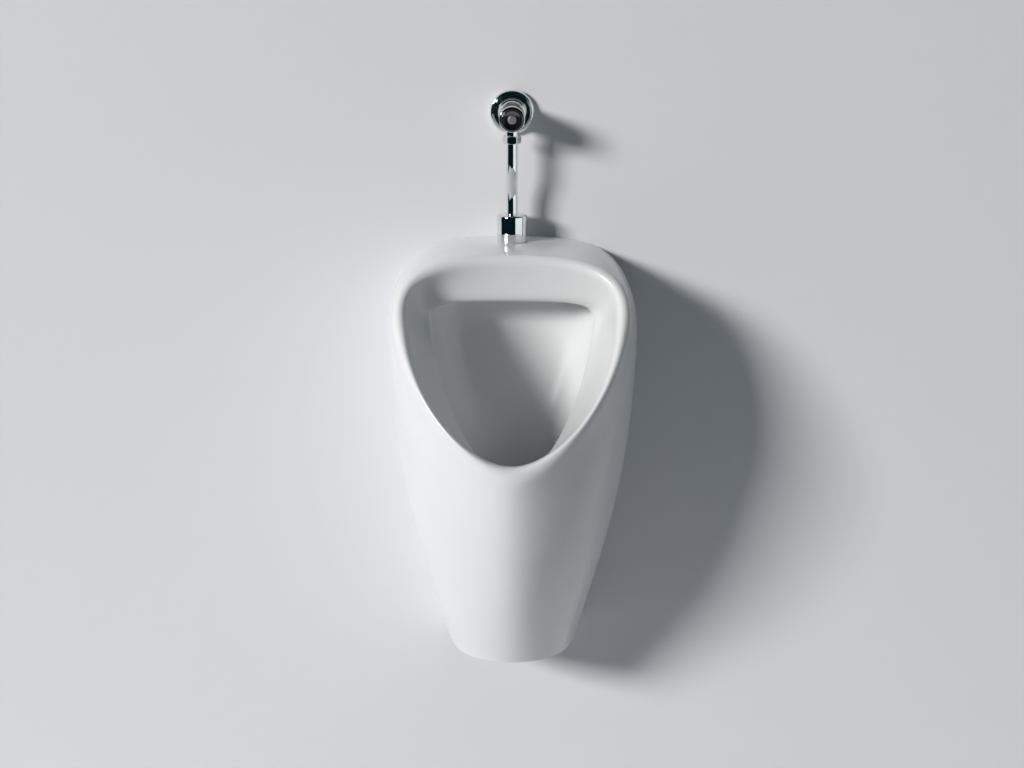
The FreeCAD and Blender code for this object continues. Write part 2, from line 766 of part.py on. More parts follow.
def strainer_screw():
    """Slotted screw that holds the strainer down to the cross bars."""
    body = new_body("strainer_screw", SEAT)
    under = "recess_level + grid_thickness + grid_crown"
    revolve(body, [("0", "-bar_level - 2"), ("grid_screw_radius - 0.4", "-bar_level - 2"),
                   ("grid_screw_radius", "-bar_level - 1"), ("grid_screw_radius", under),
                   ("grid_head_radius", under), ("grid_head_radius", f"{under} + grid_head / 2"),
                   ("grid_head_radius * 0.65", f"{under} + grid_head * 0.9"), ("0", f"{under} + grid_head")])
    slot = new_sketch(body, "XY_Plane", f"{under} + grid_head - slot_depth")
    end, side = "(grid_head_radius + 1)", "(slot_width / 2)"
    add_outline(slot, [(f"-{end}", f"-{side}"), (end, f"-{side}"), (end, side), (f"-{end}", side)])
    pocket(body, slot, "grid_head", backwards=True)
    finish(body, "strainer_screw")


def waste_washer():
    ring("waste_washer", SEAT, "tail_radius + 0.2", "waste_washer_radius",
         "-boss_thickness - waste_washer_thickness", "-boss_thickness")


def waste_nut():
    high = "(-boss_thickness - waste_washer_thickness)"
    hex_nut("waste_nut", SEAT, "waste_nut_flats", "tail_radius + 0.1", f"({high} - waste_nut_height)", high)


# ---------------------------------------------------------------- bottle trap

def trap_head():
    """The trap's upper half: a collar for the waste tail, and a branch towards the wall."""
    body = new_body("trap_head", TRAP)
    inside = "head_radius - head_wall"
    deck = "head_top + deck_thickness"
    revolve(body, [("collar_bore", "collar_top"), ("collar_bore", deck), ("dip_radius + 0.2", deck),
                   ("dip_radius + 0.2", "head_top"), (inside, "head_top"), (inside, "-head_bottom"),
                   ("head_radius", "-head_bottom"), ("head_radius", "head_top"), ("collar_radius + 3", deck),
                   ("collar_radius", deck), ("collar_radius", "collar_top")])
    branch = new_sketch(body, "XZ_Plane")
    add_circle(branch, "0", "0", "branch_radius")
    extrude(body, branch, "branch_length", backwards=True)
    cavity = new_sketch(body, "XY_Plane", "-head_bottom")
    add_circle(cavity, "0", "0", inside)
    pocket(body, cavity, "head_bottom + head_top", backwards=True)
    bore = new_sketch(body, "XZ_Plane", "-branch_length - 1")
    add_circle(bore, "0", "0", "branch_bore")
    pocket(body, bore, "branch_length", backwards=True)
    finish(body, "trap_head")


def trap_dip_tube():
    deck = "head_top + deck_thickness"
    bore = "dip_radius - dip_wall"
    turned("trap_dip_tube", TRAP, [(bore, "-dip_bottom"), ("dip_radius", "-dip_bottom"), ("dip_radius", deck),
                                   ("collar_bore - 0.3", deck), ("collar_bore - 0.3", f"{deck} + 1.5"),
                                   (bore, f"{deck} + 1.5")])


def trap_inlet_seal():
    ring("trap_inlet_seal", TRAP, "tail_radius + 0.15", "collar_radius - 0.2",
         "collar_top", "collar_top + slip_seal_thickness")


def trap_inlet_nut():
    step = "(collar_top + slip_seal_thickness)"
    slip_nut("trap_inlet_nut", TRAP, UPRIGHT, "collar_radius + 0.1", "tail_radius + 0.3",
             f"({step} + slip_lip - slip_nut_height)", step, f"({step} + slip_lip)")


def trap_cup_seal():
    ring("trap_cup_seal", TRAP, "head_radius - head_wall + 0.2", "head_radius + 1",
         "-head_bottom - cup_seal_thickness", "-head_bottom")


def trap_cup():
    """The trap's lower half, which unscrews for cleaning."""
    body = new_body("trap_cup", TRAP)
    under_seal = "(-head_bottom - cup_seal_thickness)"
    neck = "head_radius - head_wall - 0.2"
    inside = "cup_radius - cup_wall"
    revolve(body, [(inside, "-cup_neck_top"), (neck, "-cup_neck_top"), (neck, under_seal),
                   ("cup_flange_radius", under_seal),
                   ("cup_flange_radius", f"{under_seal} - cup_flange_thickness"),
                   ("cup_radius", f"{under_seal} - cup_flange_thickness"), ("cup_radius", "-cup_bottom"),
                   ("0", "-cup_bottom"), ("0", "-cup_bottom + cup_wall"), (inside, "-cup_bottom + cup_wall")])
    round_edges(body, "cup_wall * 1.6", [("cup_radius", "-cup_bottom")])
    finish(body, "trap_cup")


def trap_outlet_seal():
    end = "(drain_out - branch_length)"
    ring("trap_outlet_seal", BRANCH, "outlet_radius + 0.15", "branch_radius - 0.2",
         f"({end} - slip_seal_thickness)", end, OUTWARD)


def trap_outlet_nut():
    step = "(drain_out - branch_length - slip_seal_thickness)"
    slip_nut("trap_outlet_nut", BRANCH, OUTWARD, "branch_radius + 0.15", "outlet_radius + 0.25",
             f"({step} + slip_nut_height - slip_lip)", step, f"({step} - slip_lip)")


def outlet_pipe():
    """Pipe from the trap into the drain in the wall, with a bead that stops it at the wall's face."""
    shouldered_tube("outlet_pipe", BRANCH, "outlet_radius", "outlet_wall", ("-outlet_tail", "outlet_inside"),
                    ("bead_out", "bead_out + shoulder_width"))


# ---------------------------------------------------------------- flush pipe

def inlet_spud():
    """Rubber bush that seals the flush pipe in the ceramic."""
    bore = "pipe_radius + 0.05"
    turned("inlet_spud", INLET, [(bore, "-spud_depth"), ("inlet_bore_radius - 1", "-spud_depth"),
                                 ("inlet_bore_radius - 0.1", "-spud_depth + 3"),
                                 ("inlet_bore_radius - 0.1", "cover_gap"),
                                 ("spud_flange_radius", "cover_gap"), ("spud_flange_radius", "spud_flange"),
                                 ("pipe_radius + 3", "spud_lip"), (bore, "spud_lip")])


def spreader():
    """Nozzle under the bush that throws the water sideways along the hood."""
    body = new_body("spreader", INLET)
    stem = "pipe_radius - 0.05"
    revolve(body, [("0", "-spreader_bottom"), ("spreader_radius - 1", "-spreader_bottom"),
                   ("spreader_radius", "-spreader_bottom + 1"), ("spreader_radius", "-spreader_deck"),
                   (stem, "-spreader_deck + 1"), (stem, "-spreader_top"),
                   ("pipe_radius - 2", "-spreader_top"),
                   ("pipe_radius - 2", "-spreader_deck"), ("0", "-spreader_deck")])
    jets = new_sketch(body, "XZ_Plane")
    add_circle(jets, "0", "-spreader_hole_drop", "spreader_hole")
    pocket(body, jets, "30", both_ways=True)
    sides = new_sketch(body, "YZ_Plane")
    add_circle(sides, "0", "-spreader_hole_drop", "spreader_hole")
    pocket(body, sides, "30", both_ways=True)
    finish(body, "spreader")


def flush_pipe():
    """Tube with a slight double bend, from the valve's outlet down into the bush."""
    body = new_body("flush_pipe", INLET)
    offset = "(outlet_out - inlet_out)"
    shift, low, high = number(offset), number("bend_low"), number("bend_high")
    rise = (high - low) / 2
    radius = (rise ** 2 + (shift / 2) ** 2) / shift
    sweep = math.asin(rise / radius)
    path = new_sketch(body, "YZ_Plane")
    bottom = path.addGeometry(Part.LineSegment(Vector(0, -number("pipe_low"), 0), Vector(0, low, 0)), False)
    lower_circle = Part.Circle(Vector(-radius, low, 0), Vector(0, 0, 1), radius)
    lower = path.addGeometry(Part.ArcOfCircle(lower_circle, 0, sweep), False)
    upper_circle = Part.Circle(Vector(-shift + radius, high, 0), Vector(0, 0, 1), radius)
    upper = path.addGeometry(Part.ArcOfCircle(upper_circle, math.pi, math.pi + sweep), False)
    top_line = Part.LineSegment(Vector(-shift, high, 0), Vector(-shift, number("pipe_high"), 0))
    top = path.addGeometry(top_line, False)
    pin_point(path, bottom, 1, "0", "-pipe_low")
    pin_point(path, bottom, 2, "0", "bend_low")
    pin_point(path, top, 1, f"-{offset}", "bend_high")
    pin_point(path, top, 2, f"-{offset}", "pipe_high")
    for meeting in ((bottom, 2, lower, 1), (lower, 2, upper, 2), (upper, 1, top, 1)):
        path.addConstraint(Sketcher.Constraint("Tangent", *meeting))
    path.addConstraint(Sketcher.Constraint("Equal", lower, upper))
    profile = new_sketch(body, "XY_Plane", "-pipe_low")
    add_circle(profile, "0", "0", "pipe_radius")
    add_circle(profile, "0", "0", "pipe_radius - pipe_wall")
    tube = body.newObject("PartDesign::AdditivePipe", "flush_pipe_sweep")
    tube.Profile = profile
    tube.Spine = (path, ["Edge1", "Edge2", "Edge3", "Edge4"])
    finish(body, "flush_pipe")


def pipe_cap():
    """Cover cup that hides the bush. It slides up the pipe."""
    body = new_body("pipe_cap", INLET)
    inside = "cover_radius - cover_wall"
    under = "cover_height - cover_wall"
    revolve(body, [(inside, "cover_gap"), ("cover_radius", "cover_gap"), ("cover_radius", "cover_height"),
                   ("pipe_radius + 0.08", "cover_height"), ("pipe_radius + 0.08", under), (inside, under)])
    round_edges(body, "cover_round", [("cover_radius", "cover_height")])
    finish(body, "pipe_cap")


def pipe_union_nut():
    """Hexagon nut that holds the flush pipe up to the valve's outlet."""
    body = new_body("union_blank", UNION)
    corner = "(union_flats / 2 / cos(30))"
    step = "union_low + union_lip"
    revolve(body, [("pipe_radius + 0.1", "union_low"), ("union_flats / 2 - 0.6", "union_low"),
                   (corner, "union_low + 1.4"), (corner, "union_high - 1.4"),
                   ("union_flats / 2 - 0.6", "union_high"),
                   ("neck_radius + 0.08", "union_high"), ("neck_radius + 0.08", step),
                   ("pipe_radius + 0.1", step)])
    prism = new_body("union_hexagon", UNION)
    sketch = new_sketch(prism, "XY_Plane", "union_low")
    add_outline(sketch, hexagon("union_flats"))
    extrude(prism, sketch, "union_high - union_low")
    nut = doc.addObject("Part::MultiCommon", "union")
    nut.Shapes = [body, prism]
    finish(nut, "pipe_union_nut")


def pipe_seal():
    ring("pipe_seal", UNION, "pipe_radius + 0.1", "neck_radius - 0.1",
         "union_low + union_lip", "valve_rise - neck_drop")


def flow_regulator():
    """Plastic insert that evens out the flow, just above the pipe's end."""
    body = new_body("flow_regulator", UNION)
    revolve(body, [("regulator_bore", "regulator_low"), ("neck_bore - 0.1", "regulator_low"),
                   ("neck_bore - 0.1", "regulator_high"), ("regulator_bore", "regulator_high")])
    sketch = new_sketch(body, "XY_Plane", "pipe_high")
    add_circle(sketch, "regulator_hole_ring", "0", "small_hole_radius")
    spread(body, pocket(body, sketch, "6", backwards=True), "hole_count")
    finish(body, "flow_regulator")


def vacuum_breaker():
    """Rubber lip valve that lets air in when the water stops."""
    turned("vacuum_breaker", UNION, [("breaker_bore", "breaker_low"), ("breaker_bore + 1.2", "breaker_low"),
                                     ("breaker_root + 0.8", "breaker_flange"),
                                     ("neck_bore - 0.1", "breaker_flange"),
                                     ("neck_bore - 0.1", "breaker_high"), ("breaker_root", "breaker_high")])


# ---------------------------------------------------------------- flush valve

def wall_rosette():
    """Dished cover plate between the valve and the wall."""
    face = [(f"rosette_radius - rosette_{name}_inset", f"rosette_{name}_rise") for name in ROSETTE]
    back = [(f"rosette_radius - rosette_{name}_back_inset", f"rosette_{name}_back_rise") for name in ROSETTE]
    turned("wall_rosette", VALVE, face + back[::-1], OUTWARD)


def inlet_nipple():
    """Threaded nipple from the supply in the wall, up against the back of the valve."""
    shouldered_tube("inlet_nipple", VALVE, "nipple_radius", "nipple_wall", ("-nipple_back", "nipple_front"),
                    ("body_back - shoulder_width", "body_back"))


def inlet_filter():
    """Cup-shaped strainer in the valve's inlet."""
    body = new_body("inlet_filter", VALVE, OUTWARD)
    rim = "filter_back + filter_wall"
    revolve(body, [("0", "filter_tip"), ("filter_tip_radius", "filter_tip"),
                   ("filter_root_radius", "filter_back"),
                   ("filter_radius", "filter_back"), ("filter_radius", rim),
                   ("filter_root_radius + 0.6", rim),
                   ("filter_tip_radius + 0.6", "filter_tip + filter_wall"),
                   ("0", "filter_tip + filter_wall")])
    sketch = new_sketch(body, "XY_Plane", "socket_depth")
    add_circle(sketch, "filter_hole_ring", "0", "small_hole_radius")
    spread(body, pocket(body, sketch, "10", backwards=True), "hole_count")
    finish(body, "inlet_filter")


def valve_body():
    """Cast body: inlet socket at the wall, seat, cartridge bore, and an outlet neck pointing down."""
    body = new_body("valve_body", VALVE, OUTWARD)
    chamber = "(socket_radius - 1.15)"
    revolve(body, [("socket_radius", "body_back"), ("collar_back_radius", "body_back"),
                   ("collar_back_radius", "body_step"),
                   ("body_radius", "body_step + 2.5"), ("body_radius", "thread_start"),
                   ("thread_radius", "thread_start"),
                   ("thread_radius", "body_front"), ("body_bore", "body_front"),
                   ("body_bore", "seat_out - 1.2"),
                   ("seat_radius + 1.7", "seat_out - 1.2"), ("seat_radius + 1.7", "seat_out"),
                   ("seat_radius", "seat_out"),
                   ("seat_radius", "seat_wall"), (chamber, "seat_wall"), (chamber, "socket_depth"),
                   ("socket_radius", "socket_depth")])
    neck = new_sketch(body, "XZ_Plane", "body_bore - 1")
    add_circle(neck, "0", "outlet_out", "neck_radius")
    extrude(body, neck, "neck_drop - body_bore + 1")
    cavity = new_sketch(body, "XY_Plane", "seat_out")
    add_circle(cavity, "0", "0", "body_bore")
    pocket(body, cavity, "body_front - seat_out", backwards=True)
    bore = new_sketch(body, "XZ_Plane", "neck_drop + 1")
    add_circle(bore, "0", "outlet_out", "neck_bore")
    pocket(body, bore, "neck_drop - body_bore + 3")
    finish(body, "valve_body")


def cartridge_sleeve():
    """Tube that guides the piston, with windows to the outlet and a hole for the stem."""
    body = new_body("cartridge_sleeve", VALVE, OUTWARD)
    hole = "stem_radius + 0.1"
    revolve(body, [("sleeve_bore", "sleeve_back"), ("sleeve_radius", "sleeve_back"),
                   ("sleeve_radius", "body_front"),
                   (hole, "body_front"), (hole, "sleeve_deck"), ("sleeve_bore", "sleeve_deck")])
    for plane in ("XZ_Plane", "YZ_Plane"):
        window = new_sketch(body, plane)
        up = "seat_out + window_drop"
        add_circle(window, "0", up, "window_radius")
        pocket(body, window, "40", both_ways=True)
    finish(body, "cartridge_sleeve")


def piston():
    hollow_radius = "main_spring_radius + 1.6"
    turned("piston", VALVE, [("piston_bore", "piston_back"), ("piston_radius", "piston_back"),
                             ("piston_radius", "seal_groove_back"),
                             ("seal_groove_radius", "seal_groove_back"),
                             ("seal_groove_radius", "seal_groove_front"),
                             ("piston_radius", "seal_groove_front"),
                             ("piston_radius", "piston_front"), (hollow_radius, "piston_front"),
                             (hollow_radius, "piston_back + 2.8"),
                             ("piston_bore", "piston_back + 2.8")], OUTWARD)


def piston_cup_seal():
    ring("piston_cup_seal", VALVE, "seal_groove_radius + 0.02", "piston_radius + 0.03",
         "seal_groove_back + 0.1", "seal_groove_front - 0.1", OUTWARD)


def seat_washer():
    ring("seat_washer", VALVE, "stem_radius + 0.4", "seat_washer_radius", "seat_out", "piston_back", OUTWARD)


def main_spring():
    coil("main_spring", VALVE, "main_spring_radius", "main_spring_wire", "main_spring_pitch",
         "(piston_back + 2.9)", "(sleeve_deck - 0.1)", OUTWARD)


def relief_stem():
    turned("relief_stem", VALVE, [("0", "stem_back"), ("stem_radius - 0.8", "stem_back"),
                                  ("stem_radius", "stem_back + 1.5"),
                                  ("stem_radius", "button_plate - 2"),
                                  ("stem_radius + 1.2", "button_plate - 2"),
                                  ("stem_radius + 1.2", "button_plate"), ("0", "button_plate")], OUTWARD)


def button_spring():
    coil("button_spring", VALVE, "button_spring_radius", "button_spring_wire", "button_spring_pitch",
         "(body_front + 0.1)", "(button_plate - 0.1)", OUTWARD)


def bonnet_oring():
    body = new_body("bonnet_oring", VALVE, OUTWARD)
    sketch = new_sketch(body, "XZ_Plane")
    wire = "((bonnet_shoulder - body_front) / 2)"
    add_circle(sketch, f"thread_radius - {wire} + 0.05", f"body_front + {wire}", f"{wire} - 0.02")
    turn_profile(body, sketch)
    finish(body, "bonnet_oring")


def valve_bonnet():
    """Front ring that holds the cartridge in and guides the button."""
    body = new_body("valve_bonnet", VALVE, OUTWARD)
    thread = "thread_radius + 0.1"
    shoulder_front = "bonnet_shoulder + 1.6"
    revolve(body, [(thread, "thread_start + 0.3"), ("bonnet_radius", "thread_start + 0.3"),
                   ("bonnet_radius", "bonnet_front"), ("bonnet_bore", "bonnet_front"),
                   ("bonnet_bore", shoulder_front),
                   ("button_spring_radius + 3.5", shoulder_front),
                   ("button_spring_radius + 3.5", "bonnet_shoulder"),
                   (thread, "bonnet_shoulder")])
    round_edges(body, "1", [("bonnet_radius", "bonnet_front"), ("bonnet_radius", "thread_start + 0.3")])
    finish(body, "valve_bonnet")


def push_button():
    """Polished button with a shallow dish and a recess for its insert."""
    body = new_body("push_button", VALVE, OUTWARD)
    skirt = "button_radius - 1.5"
    revolve(body, [(skirt, "button_back"), ("button_radius", "button_back"),
                   ("button_radius", "button_front"),
                   ("button_radius - 1.8", "button_front"), ("insert_radius + 2.5", "button_front - 0.9"),
                   ("insert_radius + 0.05", "button_front - 1.1"), ("insert_radius + 0.05", "insert_back"),
                   ("0", "insert_back"), ("0", "button_plate"), (skirt, "button_plate")])
    round_edges(body, "0.8", [("button_radius", "button_front")])
    finish(body, "push_button")


def button_insert():
    """Plain disc in the middle of the button."""
    turned("button_insert", VALVE, [("0", "insert_back"), ("insert_radius", "insert_back"),
                                    ("insert_radius", "button_front - 1.4"),
                                    ("insert_radius - 0.5", "button_front - 1"),
                                    ("0", "button_front - 0.9")], OUTWARD)


# ---------------------------------------------------------------- wall fixings

def wall_hangers():
    """Two bent steel hooks, screwed to the wall, that the ceramic hangs on."""
    body = new_body("hanger", HANGER)
    sketch = new_sketch(body, "YZ_Plane")
    tongue_back = "-hanger_reach + hanger_plate"
    shelf = "hanger_shelf"
    add_outline(sketch, [("0", "-hanger_foot"), ("0", shelf), (tongue_back, shelf),
                         (tongue_back, "hanger_tongue"),
                         ("-hanger_reach", "hanger_tongue"), ("-hanger_reach", f"{shelf} - hanger_plate"),
                         ("-hanger_plate", f"{shelf} - hanger_plate"), ("-hanger_plate", "-hanger_foot")])
    extrude(body, sketch, "hanger_width", both_ways=True)
    hole = new_sketch(body, "XZ_Plane", "hanger_plate + 1")
    add_circle(hole, "0", "0", "screw_radius + 0.4")
    pocket(body, hole, "hanger_plate + 2")
    pair("wall_hangers", body)


def wall_screw(body, front):
    """A round rod with eased ends; the part in the wall has a coarser thread, drawn at its outside."""
    back = "(-screw_depth)"
    revolve(body, [("0", back), ("wall_thread_radius - 1.2", back), ("wall_thread_radius", f"{back} + 1.5"),
                   ("wall_thread_radius", "0"), ("screw_radius", "0"), ("screw_radius", f"{front} - 1"),
                   ("screw_radius - 0.9", front), ("0", front)])


def hanger_screws():
    body = new_body("hanger_screw", HANGER, OUTWARD)
    wall_screw(body, "(hanger_plate + 1.5)")
    flange = new_sketch(body, "XY_Plane", "hanger_plate")
    add_circle(flange, "0", "0", "screw_flats / 2 + 1.8")
    extrude(body, flange, "1.5")
    head = new_sketch(body, "XY_Plane", "hanger_plate + 1.4")
    add_outline(head, hexagon("screw_flats"))
    extrude(body, head, "screw_head")
    pair("hanger_screws", body)


def lower_bolts():
    body = new_body("lower_bolt", LOWER, OUTWARD)
    wall_screw(body, "bolt_reach")
    pair("lower_bolts", body)


def lower_washers():
    body = new_body("lower_washer", LOWER, OUTWARD)
    high = "ear_thickness + lower_washer_thickness"
    revolve(body, [("screw_radius + 0.2", "ear_thickness"), ("lower_washer_radius", "ear_thickness"),
                   ("lower_washer_radius", high), ("screw_radius + 0.2", high)])
    pair("lower_washers", body)


def lower_nuts():
    low = "ear_thickness + lower_washer_thickness"
    body = new_body("lower_nut", LOWER, OUTWARD)
    sketch = new_sketch(body, "XY_Plane", low)
    add_outline(sketch, hexagon("screw_flats"))
    add_circle(sketch, "0", "0", "screw_radius + 0.1")
    extrude(body, sketch, "lower_nut_height")
    pair("lower_nuts", body)


# ---------------------------------------------------------------- build, check and write

def build():
    fill_sheet()
    ceramic_body()
    for make in (drain_gasket, waste_tail, drain_strainer, strainer_screw, waste_washer, waste_nut,
                 trap_head, trap_dip_tube, trap_inlet_seal, trap_inlet_nut, trap_cup_seal, trap_cup,
                 trap_outlet_seal, trap_outlet_nut, outlet_pipe, inlet_spud, spreader, flush_pipe,
                 pipe_cap, pipe_union_nut, pipe_seal, flow_regulator, vacuum_breaker, wall_rosette,
                 inlet_nipple, inlet_filter, valve_body, cartridge_sleeve, piston, piston_cup_seal,
                 seat_washer, main_spring, relief_stem, button_spring, bonnet_oring, valve_bonnet,
                 push_button, button_insert, wall_hangers, hanger_screws, lower_bolts, lower_washers,
                 lower_nuts):
        make()
    doc.recompute()


def check():
    """Stops the build if any object failed or any sub-part is not sound."""
    faults = [f"{thing.Label}: {thing.State}" for thing in doc.Objects
              if "Invalid" in thing.State or "Error" in thing.State]
    for thing in parts:
        if thing.Shape.isNull() or not thing.Shape.Solids:
            faults.append(f"{thing.Label}: no solid")
        elif not thing.Shape.isValid():
            faults.append(f"{thing.Label}: shape is not valid")
    if faults:
        raise RuntimeError("; ".join(faults))


def write():
    os.makedirs("parts", exist_ok=True)
    for thing in parts:
        thing.Shape.exportStep(f"parts/{thing.Label}.step")
        size = thing.Shape.BoundBox
        print(f"{thing.Label:18s} solids {len(thing.Shape.Solids)}  faces {len(thing.Shape.Faces):3d}  "
              f"volume {thing.Shape.Volume / 1000:9.2f} cm3  "
              f"box {size.XLength:.1f} x {size.YLength:.1f} x {size.ZLength:.1f}")


build()
check()
write()
print(len(parts), "sub-parts")
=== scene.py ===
# %% [markdown]
# # A wall hung urinal, dressed for its portrait
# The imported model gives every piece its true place. This file gives the pieces you can see their real
# curves and finishes: white glazed china, polished chrome, moulded plastic, rubber and steel. Each step
# first says what the piece is, how it could be made in Blender, and why one way was chosen.

# %% The frame
import json
import math

import bmesh
import bpy
from mathutils import Matrix, Vector


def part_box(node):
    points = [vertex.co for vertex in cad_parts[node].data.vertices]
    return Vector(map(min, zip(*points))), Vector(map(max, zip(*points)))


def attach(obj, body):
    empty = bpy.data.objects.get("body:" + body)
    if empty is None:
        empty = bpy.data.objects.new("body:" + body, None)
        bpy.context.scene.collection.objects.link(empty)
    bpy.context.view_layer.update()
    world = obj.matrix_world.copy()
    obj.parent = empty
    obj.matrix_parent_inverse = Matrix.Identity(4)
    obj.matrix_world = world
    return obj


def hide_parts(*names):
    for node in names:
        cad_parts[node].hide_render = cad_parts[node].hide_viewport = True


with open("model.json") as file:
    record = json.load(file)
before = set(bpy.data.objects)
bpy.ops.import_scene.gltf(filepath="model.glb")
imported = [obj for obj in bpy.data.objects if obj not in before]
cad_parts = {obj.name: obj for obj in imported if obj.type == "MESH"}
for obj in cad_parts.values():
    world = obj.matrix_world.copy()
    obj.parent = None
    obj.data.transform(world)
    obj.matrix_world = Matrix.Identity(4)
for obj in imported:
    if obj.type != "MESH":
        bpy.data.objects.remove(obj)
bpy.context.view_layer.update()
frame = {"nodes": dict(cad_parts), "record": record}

# %% [markdown]
# ## Sizes
# The real thing is drawn in millimetres and Blender works in metres, so every size below is in
# millimetres and `MM` turns it round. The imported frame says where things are: the ceramic's top, the
# valve's axis, the drain. Only shapes that the frame can't tell, such as a profile, are written here.

# %% Units and places
MM = 0.001


def middle(node):
    """The centre of a node's box, in millimetres."""
    low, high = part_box(node)
    return (Vector(low) + Vector(high)) / 2 / MM


def top(node):
    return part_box(node)[1][2] / MM


def bottom(node):
    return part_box(node)[0][2] / MM


CERAMIC_TOP = top("ceramic_body")
VALVE_HEIGHT = middle("wall_rosette").z
DRAIN = Vector((0, middle("drain_gasket").y, bottom("drain_gasket")))
INLET = Vector((0, middle("pipe_cap").y, CERAMIC_TOP))
print(f"ceramic top {CERAMIC_TOP:.1f}, valve {VALVE_HEIGHT:.1f}")
print(f"drain seat {DRAIN.z:.1f}, {-DRAIN.y:.1f} out from the wall")

# %% [markdown]
# ## Helpers that every piece uses
# A bmesh becomes an object here, with its place in its mesh and the object left at the origin, so that it
# follows its body.

# %% From a bmesh to a finished piece
WELD = 1e-4                     # corners closer than this become one, in millimetres


def to_object(bm, name, smooth_angle=35):
    """Makes an object of a bmesh in millimetres, with outward faces and sharp edges kept sharp."""
    bmesh.ops.remove_doubles(bm, verts=bm.verts, dist=WELD)
    bmesh.ops.recalc_face_normals(bm, faces=bm.faces)
    for face in bm.faces:
        face.smooth = True
    for edge in bm.edges:
        if len(edge.link_faces) == 2 and edge.calc_face_angle() > math.radians(smooth_angle):
            edge.smooth = False
    bmesh.ops.scale(bm, vec=(MM, MM, MM), verts=bm.verts)
    mesh = bpy.data.meshes.new(name)
    bm.to_mesh(mesh)
    bm.free()
    piece = bpy.data.objects.new(name, mesh)
    bpy.context.scene.collection.objects.link(piece)
    return piece


def shown(piece, material, body, slot, *nodes):
    """Gives a piece its material and its body, and hides the nodes that it stands for. The slot is not
    used.
    """
    piece.data.materials.clear()
    piece.data.materials.append(material)
    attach(piece, body)
    if nodes:
        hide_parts(*nodes)


def baked(piece):
    """Applies a piece's modifiers to its mesh."""
    view = bpy.context.evaluated_depsgraph_get()
    mesh = bpy.data.meshes.new_from_object(piece.evaluated_get(view))
    piece.modifiers.clear()
    piece.data = mesh
    return piece


def combine(piece, others, how):
    """Cuts, joins or crosses a piece with others, which are used up."""
    for other in others:
        step = piece.modifiers.new(how, "BOOLEAN")
        step.operation = how
        step.solver = "EXACT"
        step.object = other
    baked(piece)
    for other in others:
        bpy.data.objects.remove(other)


# %% [markdown]
# ## The ceramic's skin
# Slip-cast china has no flat face and no hard corner on its outside: one skin runs from the wall, round
# the rim and down the bowl to the drain. It could be sculpted, or patched from curves, but then its
# outline in the photograph is hard to steer. Here it is a cage of rings. Each ring is a rounded shape
# that is given by its top, side and bottom points and by how square its two halves are, and a Subdivision
# Surface draws the smooth skin over the cage.

# %% The rings, in millimetres above the ceramic's top ("up") and out from the wall ("out")
# top: up, out; side: half width, up, out; bottom: up, out; squareness of the upper and the lower half
SKIN = (
    (0, 0, 152, -120, 0, -688, 0, 3.6, 1.49),           # on the wall
    (0, 6, 153, -120, 8, -688, 14, 3.6, 1.49),
    (0, 34, 155, -120, 42, -686, 48, 3.6, 1.49),
    (0, 66, 156, -118, 80, -640, 92, 3.5, 1.51),        # widest
    (-1, 88, 156, -112, 112, -523, 150, 3.4, 1.90),
    (-2, 100, 154.5, -104, 137, -447, 212, 3.3, 1.66),
    (-3, 106, 152, -94, 157, -360, 264, 3.2, 1.59),
    (-4, 110.5, 148.2, -84, 169, -263, 296.8, 3.1, 1.56),   # under the rim
    (-2, 115.5, 146.5, -77, 177.5, -246, 305, 3.0, 1.55),
    (-5, 121, 140.5, -71, 183, -229, 302.5, 2.9, 1.60),     # the rim's crest
    (-12, 121.5, 132, -67, 178.5, -227, 288, 2.8, 1.72),
    (-21, 118, 126.5, -68, 164, -232, 272, 2.9, 1.74),
    (-40, 112, 121, -78, 144, -245, 252, 3.6, 1.65),    # the hood's face
    (-56, 108, 116, -88, 124, -259, 234, 4.2, 1.5),
    (-63, 104, 110, -92, 112, -272, 222, 4.4, 1.45),
    (-66, 98, 103, -94, 106, -284, 212, 4.4, 1.45),     # the hood's lower edge
    (-61, 92, 101, -94, 100, -292, 204, 3.4, 1.5),
    (-46, 84, 106, -94, 90, -304, 192, 3.0, 1.6),
    (-32, 66, 108, -98, 72, -322, 177, 2.8, 1.7),       # the space above the lip
    (-36, 42, 96, -116, 50, -336, 162, 2.6, 1.8),
    (-70, 30, 74, -158, 39, -346, 152, 2.4, 1.9),       # the bowl's back
    (-150, 29, 53, -218, 46, -350, 148, 2.2, 2.0),
    (-270, 42, 41, -310, 80, -352, 145, 2.0, 2.0),
    (-340, 68, 37, -346, 105, -352, 142, 2.0, 2.0),     # round the drain
)
RING_POINTS = 32
print(len(SKIN), "rings of", RING_POINTS, "points")


# %% A cage of rings
def through(height, points):
    """The value at a height on the parabola through three (height, value) pairs."""
    total = 0.0
    for index, (here, value) in enumerate(points):
        for other, (there, _) in enumerate(points):
            if other != index:
                value *= (height - there) / (here - there)
        total += value
    return total


def ring_point(row, column):
    """One point of a ring, counted from its right side over its top, in the frame's millimetres."""
    top_up, top_out, half_width, side_up, side_out, bottom_up, bottom_out, upper, lower = row
    angle = 2 * math.pi * column / RING_POINTS
    across, up = math.cos(angle), math.sin(angle)
    square = upper if up >= 0 else lower
    stretch = (abs(across) ** square + abs(up) ** square) ** (-1 / square)
    reach = top_up - side_up if up >= 0 else side_up - bottom_up
    height = side_up + reach * stretch * up
    depth = through(height, ((top_up, top_out), (side_up, side_out), (bottom_up, bottom_out)))
    return Vector((half_width * stretch * across, -depth, height + CERAMIC_TOP))


